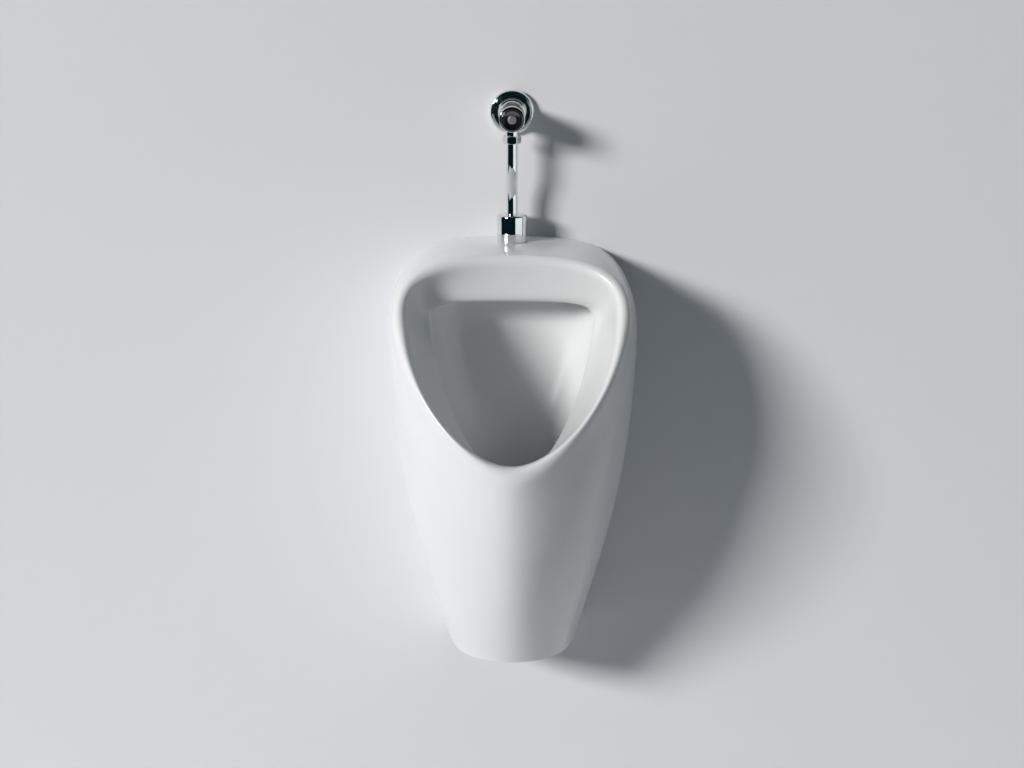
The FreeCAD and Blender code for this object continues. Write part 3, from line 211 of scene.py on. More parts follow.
def loft(rings):
    """A tube of quads: one circle of edges, extruded once for each ring of points. Both ends stay open."""
    bm = bmesh.new()
    column = bm.verts.layers.int.new("column")
    circle = bmesh.ops.create_circle(bm, segments=len(rings[0]), radius=1)["verts"]
    for index, vertex in enumerate(circle):
        vertex[column] = index
    edges = list(bm.edges)
    for number, points in enumerate(rings):
        if number:
            grown = bmesh.ops.extrude_edge_only(bm, edges=edges)["geom"]
            circle = [item for item in grown if isinstance(item, bmesh.types.BMVert)]
            edges = [item for item in grown if isinstance(item, bmesh.types.BMEdge)]
        for vertex in circle:
            vertex.co = points[vertex[column]]
    return bm


def ring_of(row):
    return [ring_point(row, column) for column in range(RING_POINTS)]


def close_ends(bm):
    """Fills a tube's two open ends and keeps their edges sharp under subdivision."""
    crease = bm.edges.layers.float.get("crease_edge") or bm.edges.layers.float.new("crease_edge")
    ends = [edge for edge in bm.edges if edge.is_boundary]
    for edge in ends:
        edge[crease] = 1.0
    bmesh.ops.holes_fill(bm, edges=ends, sides=0)


def smooth_solid(bm, name, levels):
    """A closed solid from a cage: its ends filled, its skin subdivided."""
    close_ends(bm)
    solid = to_object(bm, name, smooth_angle=180)
    skin = solid.modifiers.new("skin", "SUBSURF")
    skin.levels = skin.render_levels = levels
    skin.boundary_smooth = "PRESERVE_CORNERS"
    return baked(solid)


china = smooth_solid(loft([ring_of(row) for row in SKIN]), "china", levels=3)
print("skin:", len(china.data.polygons), "faces")

# %% [markdown]
# ## The hollow behind
# A cast bowl is a shell. The hollow between its skin and the bowl is made here as on the real mould: a
# core, which is the outer skin moved in by the wall's thickness, less the outside of the bowl. `Solidify`
# would do for an even wall, but the bowl's back hangs free inside the skin, so two more solids and a
# boolean say it plainly.

# %% The core and the bowl's back
WALL = 12
CORE_RINGS = 7
CORE_BACK = 3                   # the core starts this far behind the wall's plane, so the back is open
CORE_FRONT = (
    (-20, 100, 128, -96, 158, -290, 270, 3.1, 1.56),
    (-60, 100, 90, -130, 163, -250, 271, 2.6, 1.6),
)
BOWL_BACK = (
    (0, 150, 150, -110, 227, -230, 311, 3.0, 1.6),
    (-2, 138, 148, -84, 182, -244, 298, 3.0, 1.6),
    (-8, 130, 142, -74, 162, -250, 284, 2.9, 1.65),
    (-26, 123, 135, -80, 140, -259, 264, 2.9, 1.65),
    (-30, 110, 129, -90, 118, -274, 242, 3.0, 1.55),
    (-28, 98, 122, -94, 96, -302, 214, 2.9, 1.55),
    (-20, 72, 121, -98, 72, -334, 188, 2.8, 1.65),
    (-22, 34, 110, -114, 40, -352, 172, 2.6, 1.75),
    (-64, 17, 88, -158, 26, -364, 161, 2.4, 1.85),
    (-150, 16, 67, -222, 32, -370, 155, 2.2, 2.0),
    (-276, 29, 55, -318, 66, -374, 151, 2.0, 2.0),
    (-360, 60, 47, -369, 104, -377, 149, 2.0, 2.0),
    (-372, 60, 45, -373, 105, -374, 150, 2.0, 2.0),
)


def moved_in(number):
    """One of the skin's rings, moved in by the wall's thickness and square to the skin."""
    ahead, behind = SKIN[number + 1], SKIN[max(number - 1, 0)]
    points = []
    for index in range(RING_POINTS):
        along = ring_point(ahead, index) - ring_point(behind, index)
        around = ring_point(SKIN[number], index + 1) - ring_point(SKIN[number], index - 1)
        inward = along.cross(around)
        if number == 0:
            inward.y = 0
        point = ring_point(SKIN[number], index) + inward.normalized() * WALL
        if number == 0:
            point.y = CORE_BACK
        points.append(point)
    return points


core_rings = [moved_in(number) for number in range(CORE_RINGS)] + [ring_of(row) for row in CORE_FRONT]
core = smooth_solid(loft(core_rings), "core", levels=2)
bowl_back = smooth_solid(loft([ring_of(row) for row in BOWL_BACK]), "bowl_back", levels=2)
print("core:", len(core.data.polygons), "faces; bowl's back:", len(bowl_back.data.polygons), "faces")


# %% Boxes and rods to cut with
def box(name, low, high):
    """A box between two corners, in millimetres."""
    bm = bmesh.new()
    bmesh.ops.create_cube(bm, size=1)
    bmesh.ops.translate(bm, vec=(0.5, 0.5, 0.5), verts=bm.verts)
    bmesh.ops.scale(bm, vec=Vector(high) - Vector(low), verts=bm.verts)
    bmesh.ops.translate(bm, vec=low, verts=bm.verts)
    return to_object(bm, name)


OUTWARD = Matrix.Rotation(math.radians(90), 4, "X")     # turns a piece's own Z to point out of the wall


def rod(name, place, radius, low, high, outward=False, segments=96):
    """A cylinder from low to high along its own axis, which stands up or points out of the wall."""
    bm = bmesh.new()
    bmesh.ops.create_cone(bm, cap_ends=True, segments=segments,
                          radius1=radius, radius2=radius, depth=high - low)
    bmesh.ops.translate(bm, vec=(0, 0, (low + high) / 2), verts=bm.verts)
    if outward:
        bmesh.ops.transform(bm, matrix=OUTWARD, verts=bm.verts)
    bmesh.ops.translate(bm, vec=place, verts=bm.verts)
    return to_object(bm, name)


# %% Sizes of the cuts
FOOT = bottom("ceramic_body")
FIXING = 75                     # from the centreline to each wall fixing
LOWER_FIXING = middle("lower_bolts").z
SOLID_TOP = 50                  # solid china above the hollow
EAR_MIDDLE = 84                 # the two ears that the lower bolts go through
EAR_HALF_WIDTH = 26
EAR_HALF_HEIGHT = 17
EAR_THICKNESS = 12
EAR_BACK = 0.01                 # just clear of the wall's plane
LOWER_HOLE = 5.5
INLET_BORE = 13
INLET_DEPTH = 42
DRAIN_BORE = 23.5
DRAIN_SEAT = 34
BOSS_RADIUS = 52
BOSS_THICKNESS = 20
POCKET_HALF_WIDTH = 26          # a pocket over each hanger, with a slot for its tongue
POCKET_DEPTH = 14
POCKET_LOW = -26
POCKET_HIGH = 22
SLOT_HALF_WIDTH = 24
SLOT_FRONT = 13
SLOT_BACK = 8
SLOT_HIGH = 34


def slab(name, low, high):
    """A block between two heights that is wider and deeper than the whole ceramic."""
    return box(name, (-200, -400, low), (200, 50, high))


# %% Cut the china
solid_top = slab("solid_top", CERAMIC_TOP - SOLID_TOP, CERAMIC_TOP + SOLID_TOP)
combine(core, [bowl_back, solid_top], "DIFFERENCE")
combine(china, [core, slab("below_foot", FOOT - 300, FOOT)], "DIFFERENCE")
ears = []
cutters = [
    rod("inlet_bore", INLET, INLET_BORE, -INLET_DEPTH, 10),
    rod("drain_bore", DRAIN, DRAIN_BORE, -60, 1),
    rod("drain_seat", DRAIN, DRAIN_SEAT, 0, 16),
    rod("boss_face", DRAIN, BOSS_RADIUS, -60, -BOSS_THICKNESS),
]
for side in (-1, 1):
    ear = side * EAR_MIDDLE
    ears.append(box("ear", (ear - EAR_HALF_WIDTH, -EAR_THICKNESS, LOWER_FIXING - EAR_HALF_HEIGHT),
                    (ear + EAR_HALF_WIDTH, -EAR_BACK, LOWER_FIXING + EAR_HALF_HEIGHT)))
    fixing = side * FIXING
    cutters.append(box("hanger_pocket", (fixing - POCKET_HALF_WIDTH, -POCKET_DEPTH, POCKET_LOW),
                       (fixing + POCKET_HALF_WIDTH, 1, POCKET_HIGH)))
    cutters.append(box("tongue_slot", (fixing - SLOT_HALF_WIDTH, -SLOT_FRONT, POCKET_HIGH),
                       (fixing + SLOT_HALF_WIDTH, -SLOT_BACK, SLOT_HIGH)))
    cutters.append(rod("lower_hole", (fixing, 0, LOWER_FIXING), LOWER_HOLE, -5, 20, outward=True))
combine(china, ears, "UNION")
combine(china, cutters, "DIFFERENCE")
print("china:", len(china.data.polygons), "faces")

# %% [markdown]
# ## Smooth shading
# A boolean leaves doubled corners and forgets which edges are sharp. A Weighted Normal modifier could
# hide the patchy shading that follows. Merging the corners and marking each edge by its angle mends the
# cause instead: the skin shades as one smooth face, and the foot and the bores keep their line.

# %% Shade what was cut
CUT_WELD = 0.02                 # corners of a cut that are closer than this become one


def shade_smooth(piece, angle=40):
    """Smooth faces, with sharp edges only where two faces meet at more than an angle."""
    bm = bmesh.new()
    bm.from_mesh(piece.data)
    bmesh.ops.remove_doubles(bm, verts=bm.verts, dist=CUT_WELD * MM)
    for face in bm.faces:
        face.smooth = True
    for edge in bm.edges:
        edge.smooth = len(edge.link_faces) != 2 or edge.calc_face_angle() < math.radians(angle)
    bm.to_mesh(piece.data)
    bm.free()
    return piece


shade_smooth(china)
print("china's box:", [round(v / MM, 1) for v in china.dimensions])

# %% [markdown]
# ## Glazed china
# Vitreous china is white clay under a clear glaze. A single white would look like plastic, so the colour
# drifts a little, as a hand-sprayed glaze does, and the clear layer on top is a separate coat with a
# faint ripple.

# %% Material helpers
def new_material(name):
    material = bpy.data.materials.new(name)
    material.use_nodes = True
    nodes = material.node_tree.nodes
    nodes.clear()
    output = nodes.new("ShaderNodeOutputMaterial")
    shader = nodes.new("ShaderNodeBsdfPrincipled")
    material.node_tree.links.new(shader.outputs["BSDF"], output.inputs["Surface"])
    return material, shader


def noise(material, scale, detail, stretch=(1, 1, 1)):
    """A noise pattern on the object's own coordinates, in metres."""
    tree = material.node_tree
    where = tree.nodes.new("ShaderNodeTexCoord")
    mapping = tree.nodes.new("ShaderNodeMapping")
    mapping.inputs["Scale"].default_value = stretch
    pattern = tree.nodes.new("ShaderNodeTexNoise")
    pattern.inputs["Scale"].default_value = scale
    pattern.inputs["Detail"].default_value = detail
    tree.links.new(where.outputs["Object"], mapping.inputs["Vector"])
    tree.links.new(mapping.outputs["Vector"], pattern.inputs["Vector"])
    return pattern.outputs["Fac"]


def ramp(material, value, stops):
    """Turns a pattern into colours; stops are (position, colour) pairs."""
    node = material.node_tree.nodes.new("ShaderNodeValToRGB")
    elements = node.color_ramp.elements
    while len(elements) < len(stops):
        elements.new(0.5)
    for element, (position, colour) in zip(elements, stops):
        element.position = position
        element.color = (*colour, 1)
    material.node_tree.links.new(value, node.inputs["Fac"])
    return node.outputs["Color"]


def grey_range(material, value, low, high):
    """Spreads a pattern between two numbers, such as two roughnesses."""
    node = material.node_tree.nodes.new("ShaderNodeMapRange")
    node.inputs["From Min"].default_value = 0.3
    node.inputs["From Max"].default_value = 0.7
    node.inputs["To Min"].default_value = low
    node.inputs["To Max"].default_value = high
    material.node_tree.links.new(value, node.inputs["Value"])
    return node.outputs["Result"]


def bump(material, value, distance, strength):
    """A bump of a real height in millimetres."""
    node = material.node_tree.nodes.new("ShaderNodeBump")
    node.inputs["Distance"].default_value = distance * MM
    node.inputs["Strength"].default_value = strength
    material.node_tree.links.new(value, node.inputs["Height"])
    return node.outputs["Normal"]


# %% Glaze and bare clay
def glazed_china():
    material, shader = new_material("glazed_china")
    link = material.node_tree.links.new
    drift = ramp(material, noise(material, 9, 4),
                 ((0.3, (0.745, 0.760, 0.765)), (0.7, (0.780, 0.790, 0.795))))
    link(drift, shader.inputs["Base Color"])
    link(grey_range(material, noise(material, 60, 5), 0.30, 0.42), shader.inputs["Roughness"])
    shader.inputs["Specular IOR Level"].default_value = 0.25
    shader.inputs["Coat Weight"].default_value = 0.45
    shader.inputs["Coat Roughness"].default_value = 0.13
    shader.inputs["Coat IOR"].default_value = 1.5
    link(bump(material, noise(material, 45, 1), 0.25, 0.25), shader.inputs["Coat Normal"])
    return material


def bare_clay():
    material, shader = new_material("bare_clay")
    link = material.node_tree.links.new
    grains = ramp(material, noise(material, 900, 6),
                  ((0.3, (0.62, 0.60, 0.56)), (0.7, (0.74, 0.72, 0.68))))
    link(grains, shader.inputs["Base Color"])
    link(grey_range(material, noise(material, 300, 4), 0.75, 0.95), shader.inputs["Roughness"])
    link(bump(material, noise(material, 1500, 4), 0.15, 0.6), shader.inputs["Normal"])
    return material


FACES_WALL = 0.99               # how squarely a face has to look at the wall to be bare
BARE_DEPTH = 1.5                # and how close to the wall it has to be
shown(china, glazed_china(), "urinal", "ceramic", "ceramic_body")
china.data.materials.append(bare_clay())
for face in china.data.polygons:
    if face.normal.y > FACES_WALL and face.center.y > -BARE_DEPTH * MM:
        face.material_index = 1
print("glaze on the china, bare clay on its back")

# %% [markdown]
# ## Metal, rubber and plastic
# Polished chrome is nearly a perfect mirror, so its look comes from what is round it. What it does need
# is a little unevenness: a finger's haze in the roughness and a faint wave left by the polishing. The
# other stuffs are the usual ones of a plumber's bag, and each gets its own grain.

# %% Metals
def metal(name, low_colour, high_colour, scale, roughness, height, stretch=(1, 1, 1)):
    """A metal with a drifting colour, an uneven roughness and a fine bump."""
    material, shader = new_material(name)
    link = material.node_tree.links.new
    shader.inputs["Metallic"].default_value = 1.0
    pattern = noise(material, scale, 4, stretch)
    link(ramp(material, pattern, ((0.3, low_colour), (0.7, high_colour))), shader.inputs["Base Color"])
    haze = noise(material, scale * 1.7, 3, stretch)
    link(grey_range(material, haze, *roughness), shader.inputs["Roughness"])
    link(bump(material, pattern, height, 0.3), shader.inputs["Normal"])
    return material


FINISH = {
    "chrome": metal("polished_chrome", (0.80, 0.81, 0.82), (0.86, 0.87, 0.87), 70, (0.02, 0.07), 0.01),
    "dark_chrome": metal("dark_chrome", (0.12, 0.12, 0.13), (0.26, 0.27, 0.28), 500, (0.08, 0.26), 0.05),
    "button_disc": metal("satin_disc", (0.40, 0.41, 0.42), (0.50, 0.51, 0.52), 400, (0.38, 0.52), 0.02),
    "steel": metal("steel", (0.52, 0.52, 0.51), (0.66, 0.66, 0.65), 220, (0.22, 0.40), 0.03, (1, 1, 6)),
    "brass": metal("brass", (0.62, 0.45, 0.20), (0.76, 0.58, 0.30), 160, (0.20, 0.36), 0.03),
}
print("metals:", ", ".join(FINISH))


# %% Rubber and plastics
def moulded(name, low_colour, high_colour, scale, roughness, height):
    """A dull stuff with a drifting colour and a moulded grain."""
    material, shader = new_material(name)
    link = material.node_tree.links.new
    drift = ramp(material, noise(material, scale / 6, 3), ((0.3, low_colour), (0.7, high_colour)))
    link(drift, shader.inputs["Base Color"])
    link(grey_range(material, noise(material, scale / 3, 3), *roughness), shader.inputs["Roughness"])
    link(bump(material, noise(material, scale, 4), height, 0.35), shader.inputs["Normal"])
    return material


MOULDED = {
    "rubber": ((0.018, 0.018, 0.020), (0.045, 0.045, 0.048), 900, (0.60, 0.80), 0.06),
    "white_plastic": ((0.66, 0.66, 0.64), (0.74, 0.74, 0.72), 700, (0.30, 0.45), 0.04),
    "grey_plastic": ((0.20, 0.21, 0.22), (0.30, 0.31, 0.32), 700, (0.40, 0.55), 0.04),
}
for name, look in MOULDED.items():
    FINISH[name] = moulded(name, *look)
print("finishes:", ", ".join(FINISH))

# %% [markdown]
# ## Turned pieces
# Rosette, valve, button, cup and trap are all turned or spun, so one helper makes them: half an outline
# is drawn as (radius, height) points, its corners are rounded to their own radius, and `spin` carries it
# right round. A cylinder with a Bevel modifier would give every corner the same softness, and polished
# metal shows the difference.

# %% From an outline to a turned piece
ARC_STEPS = 5
EASE = 0.2                      # rounding of a corner that isn't given one
STRAIGHT = math.radians(85)     # half the angle above which a corner counts as straight
MOST = 0.45                     # of a side, at most, goes to a rounding


def eased(outline):
    """Rounds the corners of an outline whose points are (radius, height) or (radius, height, rounding)."""
    points = []
    for index, (across, up, *given) in enumerate(outline):
        rounding = given[0] if given else EASE
        here = Vector((across, up))
        back = Vector(outline[index - 1][:2]) - here
        ahead = Vector(outline[(index + 1) % len(outline)][:2]) - here
        half = back.angle(ahead) / 2
        if across == 0 or half > STRAIGHT:
            points.append(here)
            continue
        reach = min(rounding / math.tan(half), MOST * back.length, MOST * ahead.length)
        radius = reach * math.tan(half)
        centre = here + (back.normalized() + ahead.normalized()).normalized() * radius / math.sin(half)
        start = here + back.normalized() * reach - centre
        end = here + ahead.normalized() * reach - centre
        for step in range(ARC_STEPS + 1):
            share = step / ARC_STEPS
            points.append(centre + (start * (1 - share) + end * share).normalized() * radius)
    return points


def turned(name, outline, place, outward=False, steps=96):
    """A closed outline spun about its own Z, which stands up or points out of the wall."""
    bm = bmesh.new()
    corners = [bm.verts.new((point.x, 0, point.y)) for point in eased(outline)]
    on_axis = outline[0][0] == 0 and outline[-1][0] == 0
    followers = corners[1:] + ([] if on_axis else corners[:1])
    edges = [bm.edges.new(ends) for ends in zip(corners, followers)]
    bmesh.ops.spin(bm, geom=corners + edges, cent=(0, 0, 0), axis=(0, 0, 1), dvec=(0, 0, 0),
                   angle=2 * math.pi, steps=steps, use_merge=True, use_duplicate=False)
    if outward:
        bmesh.ops.transform(bm, matrix=OUTWARD, verts=bm.verts)
    bmesh.ops.translate(bm, vec=place, verts=bm.verts)
    return to_object(bm, name, smooth_angle=30)


VALVE = Vector((0, 0, VALVE_HEIGHT))
OUTLET_OUT = -middle("pipe_union_nut").y
OUTLET = Vector((0, -OUTLET_OUT, CERAMIC_TOP))
NECK = VALVE + Vector((0, -OUTLET_OUT, 0))

# %% Rosette: its face from the rim to the hole, and then the back of the same sheet of metal
rosette = turned("rosette", (
    (26.9, 0, 0.1), (28, 0, 0.3), (28, 6.2, 1.6), (26.6, 8.6, 1), (25.2, 9, 0.8),
    (24.2, 8, 0.8), (23.6, 6.9, 1), (19, 6.2, 1), (17.7, 6, 0.3),
    (17.7, 4.9, 0.1), (19, 5.1, 1), (23.9, 5.9, 0.5), (24.6, 6.8, 0.5),
    (25.4, 7.6, 0.5), (26.4, 6.6, 1), (26.9, 4.5, 1)), VALVE, outward=True, steps=128)
shown(rosette, FINISH["chrome"], "urinal", "chrome", "wall_rosette")
print("rosette:", len(rosette.data.polygons), "faces")

# %% Valve body, with its neck
CHAMBER_RADIUS = 12.6
SEAT_OUT = 33.2                 # the piston's seat, out from the wall
NECK_RADIUS = 8.5
NECK_BORE = 7.2
NECK_END = -29.5
valve = turned("valve", (
    (10.55, 4), (17.5, 4, 0.6), (17.5, 16, 1.2), (15, 18.5, 1.5), (15, 54, 0.3), (13.9, 54), (13.9, 60),
    (CHAMBER_RADIUS, 60), (CHAMBER_RADIUS, 32), (7.2, 32), (7.2, SEAT_OUT), (5.5, SEAT_OUT), (5.5, 29),
    (9.4, 29), (9.4, 20), (10.55, 20)), VALVE, outward=True)
combine(valve, [rod("neck", NECK, NECK_RADIUS, NECK_END, -11.6)], "UNION")
combine(valve, [rod("chamber", VALVE, CHAMBER_RADIUS, SEAT_OUT, 59.9, outward=True),
                rod("outlet", NECK, NECK_BORE, NECK_END - 1.5, -10)], "DIFFERENCE")
shown(shade_smooth(valve, 30), FINISH["chrome"], "urinal", "chrome", "valve_body")
print("valve:", len(valve.data.polygons), "faces")

# %% Bonnet ring
bonnet = turned("bonnet", (
    (14, 54.3), (16, 54.3, 1), (16, 57.2, 0.3), (15.7, 57.6, 0.2), (15.7, 58.2, 0.2), (16, 58.6, 0.3),
    (16, 82.5, 1), (13.6, 82.5, 0.4), (13.6, 63.2), (9, 63.2), (9, 61.6), (14, 61.6)), VALVE, outward=True)
shown(bonnet, FINISH["chrome"], "urinal", "chrome", "valve_bonnet")
print("bonnet:", len(bonnet.data.polygons), "faces")

# %% Push button and its plain disc
button = turned("button", (
    (0, 83), (11.8, 83), (11.8, 70), (13.3, 70, 0.3), (13.3, 88.4, 0.8), (11.5, 88.4, 0.6), (7.8, 87.5, 2),
    (5.35, 87.3, 0.15), (5.35, 85.6, 0.1), (0, 85.6)), VALVE, outward=True)
shown(button, FINISH["dark_chrome"], "button", "dark_chrome", "push_button")
disc = turned("disc", (
    (0, 85.6), (5.3, 85.6, 0.1), (5.3, 87, 0.3), (4.8, 87.4, 0.4), (0, 87.5)), VALVE, outward=True)
shown(disc, FINISH["button_disc"], "button", "button_disc", "button_insert")
print("button and disc")


# %% Hexagon nuts
def hexagon_prism(name, place, flats, low, high, edge):
    """A hexagon with two sides parallel to X and rounded upright edges."""
    bm = bmesh.new()
    bmesh.ops.create_cone(bm, cap_ends=True, segments=6, radius1=1, radius2=1, depth=high - low)
    corner = flats / math.sqrt(3)
    sixth = math.radians(60)
    for vertex in bm.verts:
        angle = round(math.atan2(vertex.co.y, vertex.co.x) / sixth - 0.01) * sixth
        vertex.co.x, vertex.co.y = corner * math.cos(angle), corner * math.sin(angle)
    upright = [side for side in bm.edges if abs(side.verts[0].co.z - side.verts[1].co.z) > 1]
    bmesh.ops.bevel(bm, geom=upright, offset=edge, segments=3, profile=0.5, affect="EDGES", material=-1)
    bmesh.ops.translate(bm, vec=Vector(place) + Vector((0, 0, (low + high) / 2)), verts=bm.verts)
    return to_object(bm, name, smooth_angle=25)


UNION_FLATS = 20
UNION_EDGE = 0.5
union = turned("union", (
    (7.1, 125.4), (9.4, 125.4, 0.3), (11.55, 126.8, 0.4), (11.55, 134, 0.4), (9.4, 135.4, 0.3),
    (8.58, 135.4), (8.58, 128.5), (7.1, 128.5)), OUTLET)
combine(union, [hexagon_prism("union_flats", OUTLET, UNION_FLATS, 125, 136, UNION_EDGE)], "INTERSECT")
shown(shade_smooth(union, 25), FINISH["chrome"], "urinal", "chrome", "pipe_union_nut")
print("union nut:", len(union.data.polygons), "faces")

# %% [markdown]
# ## Flush pipe
# The pipe leaves the valve further from the wall than it enters the china, so it has a slight double
# bend. A curve with a round bevel would draw it too, but a loft of rings gives it a real wall and a clean
# cut end.

# %% Bent tube
BEND_STEPS = 10
TUBE_POINTS = 48


def bent_path(shift, low, high):
    """(out, up, slope) along a double bend that shifts a tube outwards between two heights."""
    rise = (high - low) / 2
    radius = (rise ** 2 + (shift / 2) ** 2) / shift
    sweep = math.asin(rise / radius)
    turns = [sweep * step / BEND_STEPS for step in range(BEND_STEPS + 1)]
    bend = [(radius * (1 - math.cos(turn)), radius * math.sin(turn), turn) for turn in turns]
    first = [(aside, low + along, turn) for aside, along, turn in bend]
    second = [(shift - aside, high - along, turn) for aside, along, turn in bend[::-1]]
    return first + second[1:]


def tube_ring(place, out_by, up, slope, radius):
    """A circle of points square to a path that leans outwards by a slope."""
    ring = []
    for step in range(TUBE_POINTS):
        angle = 2 * math.pi * step / TUBE_POINTS
        across, along = radius * math.cos(angle), radius * math.sin(angle)
        from_place = (across, -out_by - along * math.cos(slope), up - along * math.sin(slope))
        ring.append(Vector(place) + Vector(from_place))
    return ring


PIPE_RADIUS = 7
PIPE_WALL = 1
PIPE_LOW = -14                  # heights from the ceramic's top
BEND_LOW = 50
BEND_HIGH = 104
PIPE_HIGH = 138
shift = OUTLET_OUT + INLET.y
path = [(0, PIPE_LOW, 0)] + bent_path(shift, BEND_LOW, BEND_HIGH) + [(shift, PIPE_HIGH, 0)]
outside = [tube_ring(INLET, *spot, PIPE_RADIUS) for spot in path]
inside = [tube_ring(INLET, *spot, PIPE_RADIUS - PIPE_WALL) for spot in path[::-1]]
pipe = to_object(loft(outside + inside + outside[:1]), "pipe", smooth_angle=30)
shown(pipe, FINISH["chrome"], "urinal", "chrome", "flush_pipe")
print("pipe:", len(pipe.data.polygons), "faces, shift", round(shift, 1), "mm")

# %% Cover cup
cup = turned("cover_cup", (
    (17.55, 0.2), (18.75, 0.2, 0.3), (18.75, 34.8, 3), (7.08, 34.8, 0.4), (7.08, 33.6), (17.55, 33.6, 1.5)),
    INLET, steps=128)
shown(cup, FINISH["chrome"], "cover_cup", "chrome", "pipe_cap")
print("cover cup:", len(cup.data.polygons), "faces")

# %% [markdown]
# ## Waste and strainer
# Deep in the bowl a steel strainer lies in the waste's flange. It is a shallow dome with two rings of
# holes and one slotted screw. The holes are cut all at once by one mesh of rods.

# %% Strainer
HOLE_SEGMENTS = 24


def rod_ring(bm, count, ring_radius, radius, low, high, start=0.0):
    """Adds upright rods, evenly round the Z axis, to a bmesh."""
    for step in range(count):
        angle = start + 2 * math.pi * step / count
        made = bmesh.ops.create_cone(bm, cap_ends=True, segments=HOLE_SEGMENTS,
                                     radius1=radius, radius2=radius, depth=high - low)
        spot = (ring_radius * math.cos(angle), ring_radius * math.sin(angle), (low + high) / 2)
        bmesh.ops.translate(bm, vec=spot, verts=made["verts"])


HOLE_COUNT = 8
INNER_HOLES = (7.5, 1.9)        # the radius of the ring, and of its holes
OUTER_HOLES = (14, 2.6)
holes = bmesh.new()
rod_ring(holes, HOLE_COUNT, *INNER_HOLES, -2, 9)
rod_ring(holes, HOLE_COUNT, *OUTER_HOLES, -2, 9, math.pi / HOLE_COUNT)
bmesh.ops.translate(holes, vec=DRAIN, verts=holes.verts)
strainer = turned("strainer", (
    (2.3, 2.8, 0.1), (10.7, 2.26, 12), (19.5, 1, 0.1), (19.5, 2.6, 0.5), (10.7, 3.86, 12),
    (2.3, 4.4, 0.3)), DRAIN)
combine(strainer, [to_object(holes, "strainer_holes")], "DIFFERENCE")
shown(shade_smooth(strainer, 30), FINISH["steel"], "urinal", "steel", "drain_strainer")
print("strainer:", len(strainer.data.polygons), "faces")

# %% Its screw and the waste's flanged tube
SLOT = Vector((5, 0.45, 0))     # half the slot's length and width
SLOT_FLOOR = Vector((0, 0, 5.7))
BAR_REACH = 18.4                # the two cross bars in the waste, which hold the screw
BAR_HALF_WIDTH = 1.5
BAR_LOW = -14
BAR_HIGH = -8
screw = turned("strainer_screw", (
    (0, -16), (1.6, -16), (2, -15), (2, 4.4), (4, 4.4, 0.1), (4, 5.55, 0.5), (2.6, 6.47, 1),
    (0, 6.7)), DRAIN, steps=48)
slot_low = DRAIN + SLOT_FLOOR - SLOT
slot_high = DRAIN + Vector((0, 0, 8)) + SLOT
combine(screw, [box("slot", slot_low, slot_high)], "DIFFERENCE")
shown(shade_smooth(screw, 30), FINISH["steel"], "urinal", "steel", "strainer_screw")
waste = turned("waste", (
    (17.95, -53), (20.95, -53), (20.95, 2, 0.3), (32, 2, 0.3), (32, 4, 0.8), (30, 5.5, 1.5),
    (19.8, 5.5, 0.5), (19.8, 1), (17.95, 1)), DRAIN)
bars = [box("bar", DRAIN + Vector((-x, -y, BAR_LOW)), DRAIN + Vector((x, y, BAR_HIGH)))
        for x, y in ((BAR_REACH, BAR_HALF_WIDTH), (BAR_HALF_WIDTH, BAR_REACH))]
combine(waste, bars, "UNION")
combine(waste, [rod("screw_hole", DRAIN, 2.1, -15, -7, segments=32)], "DIFFERENCE")
shown(shade_smooth(waste, 30), FINISH["brass"], "urinal", "brass", "waste_tail")
print("screw and waste")

# %% [markdown]
# ## Bottle trap
# Under the bowl hangs the trap: a head with a branch to the wall, a cup that unscrews, and two hand nuts
# with finger grooves. They are plain white mouldings, turned here, with the branch joined and bored by
# booleans.

# %% Trap head and cup
TRAP = Vector((0, middle("trap_cup").y, middle("outlet_pipe").z))
BRANCH = Vector((0, 0, TRAP.z))
HEAD_ROOM = 31                  # inner radius of the trap's head
BRANCH_RADIUS = 23.5
BRANCH_BORE = 20.3
BRANCH_END = 40                 # out from the wall, and where it meets the head's axis
BRANCH_START = 105
head = turned("trap_head", (
    (21.4, 46), (21.4, 30), (18.4, 30), (18.4, 25), (HEAD_ROOM, 25, 1), (HEAD_ROOM, -30), (34, -30),
    (34, 25, 2), (29, 30, 2), (26, 30, 1.5), (26, 46, 0.5)), TRAP)
combine(head, [rod("branch", BRANCH, BRANCH_RADIUS, BRANCH_END, BRANCH_START, outward=True)], "UNION")
bores = [rod("head_room", TRAP, HEAD_ROOM, -29.9, 24.9),
         rod("branch_bore", BRANCH, BRANCH_BORE, BRANCH_END - 1, BRANCH_START, outward=True)]
combine(head, bores, "DIFFERENCE")
shown(shade_smooth(head, 30), FINISH["white_plastic"], "urinal", "white_plastic", "trap_head")
trap_cup = turned("trap_cup", (
    (28.5, -18), (30.8, -18), (30.8, -32), (36, -32, 0.8), (36, -36, 0.8), (32, -36, 0.8),
    (32, -76, 5.6), (0, -76), (0, -72.5), (28.5, -72.5, 3)), TRAP)
shown(trap_cup, FINISH["white_plastic"], "urinal", "white_plastic", "trap_cup")
print("trap:", len(head.data.polygons) + len(trap_cup.data.polygons), "faces")


# %% Hand nuts with finger grooves
NUT_RADIUS = 30.5
GRIP_COUNT = 12
GRIP_RING = 32.15
GRIP_RADIUS = 3


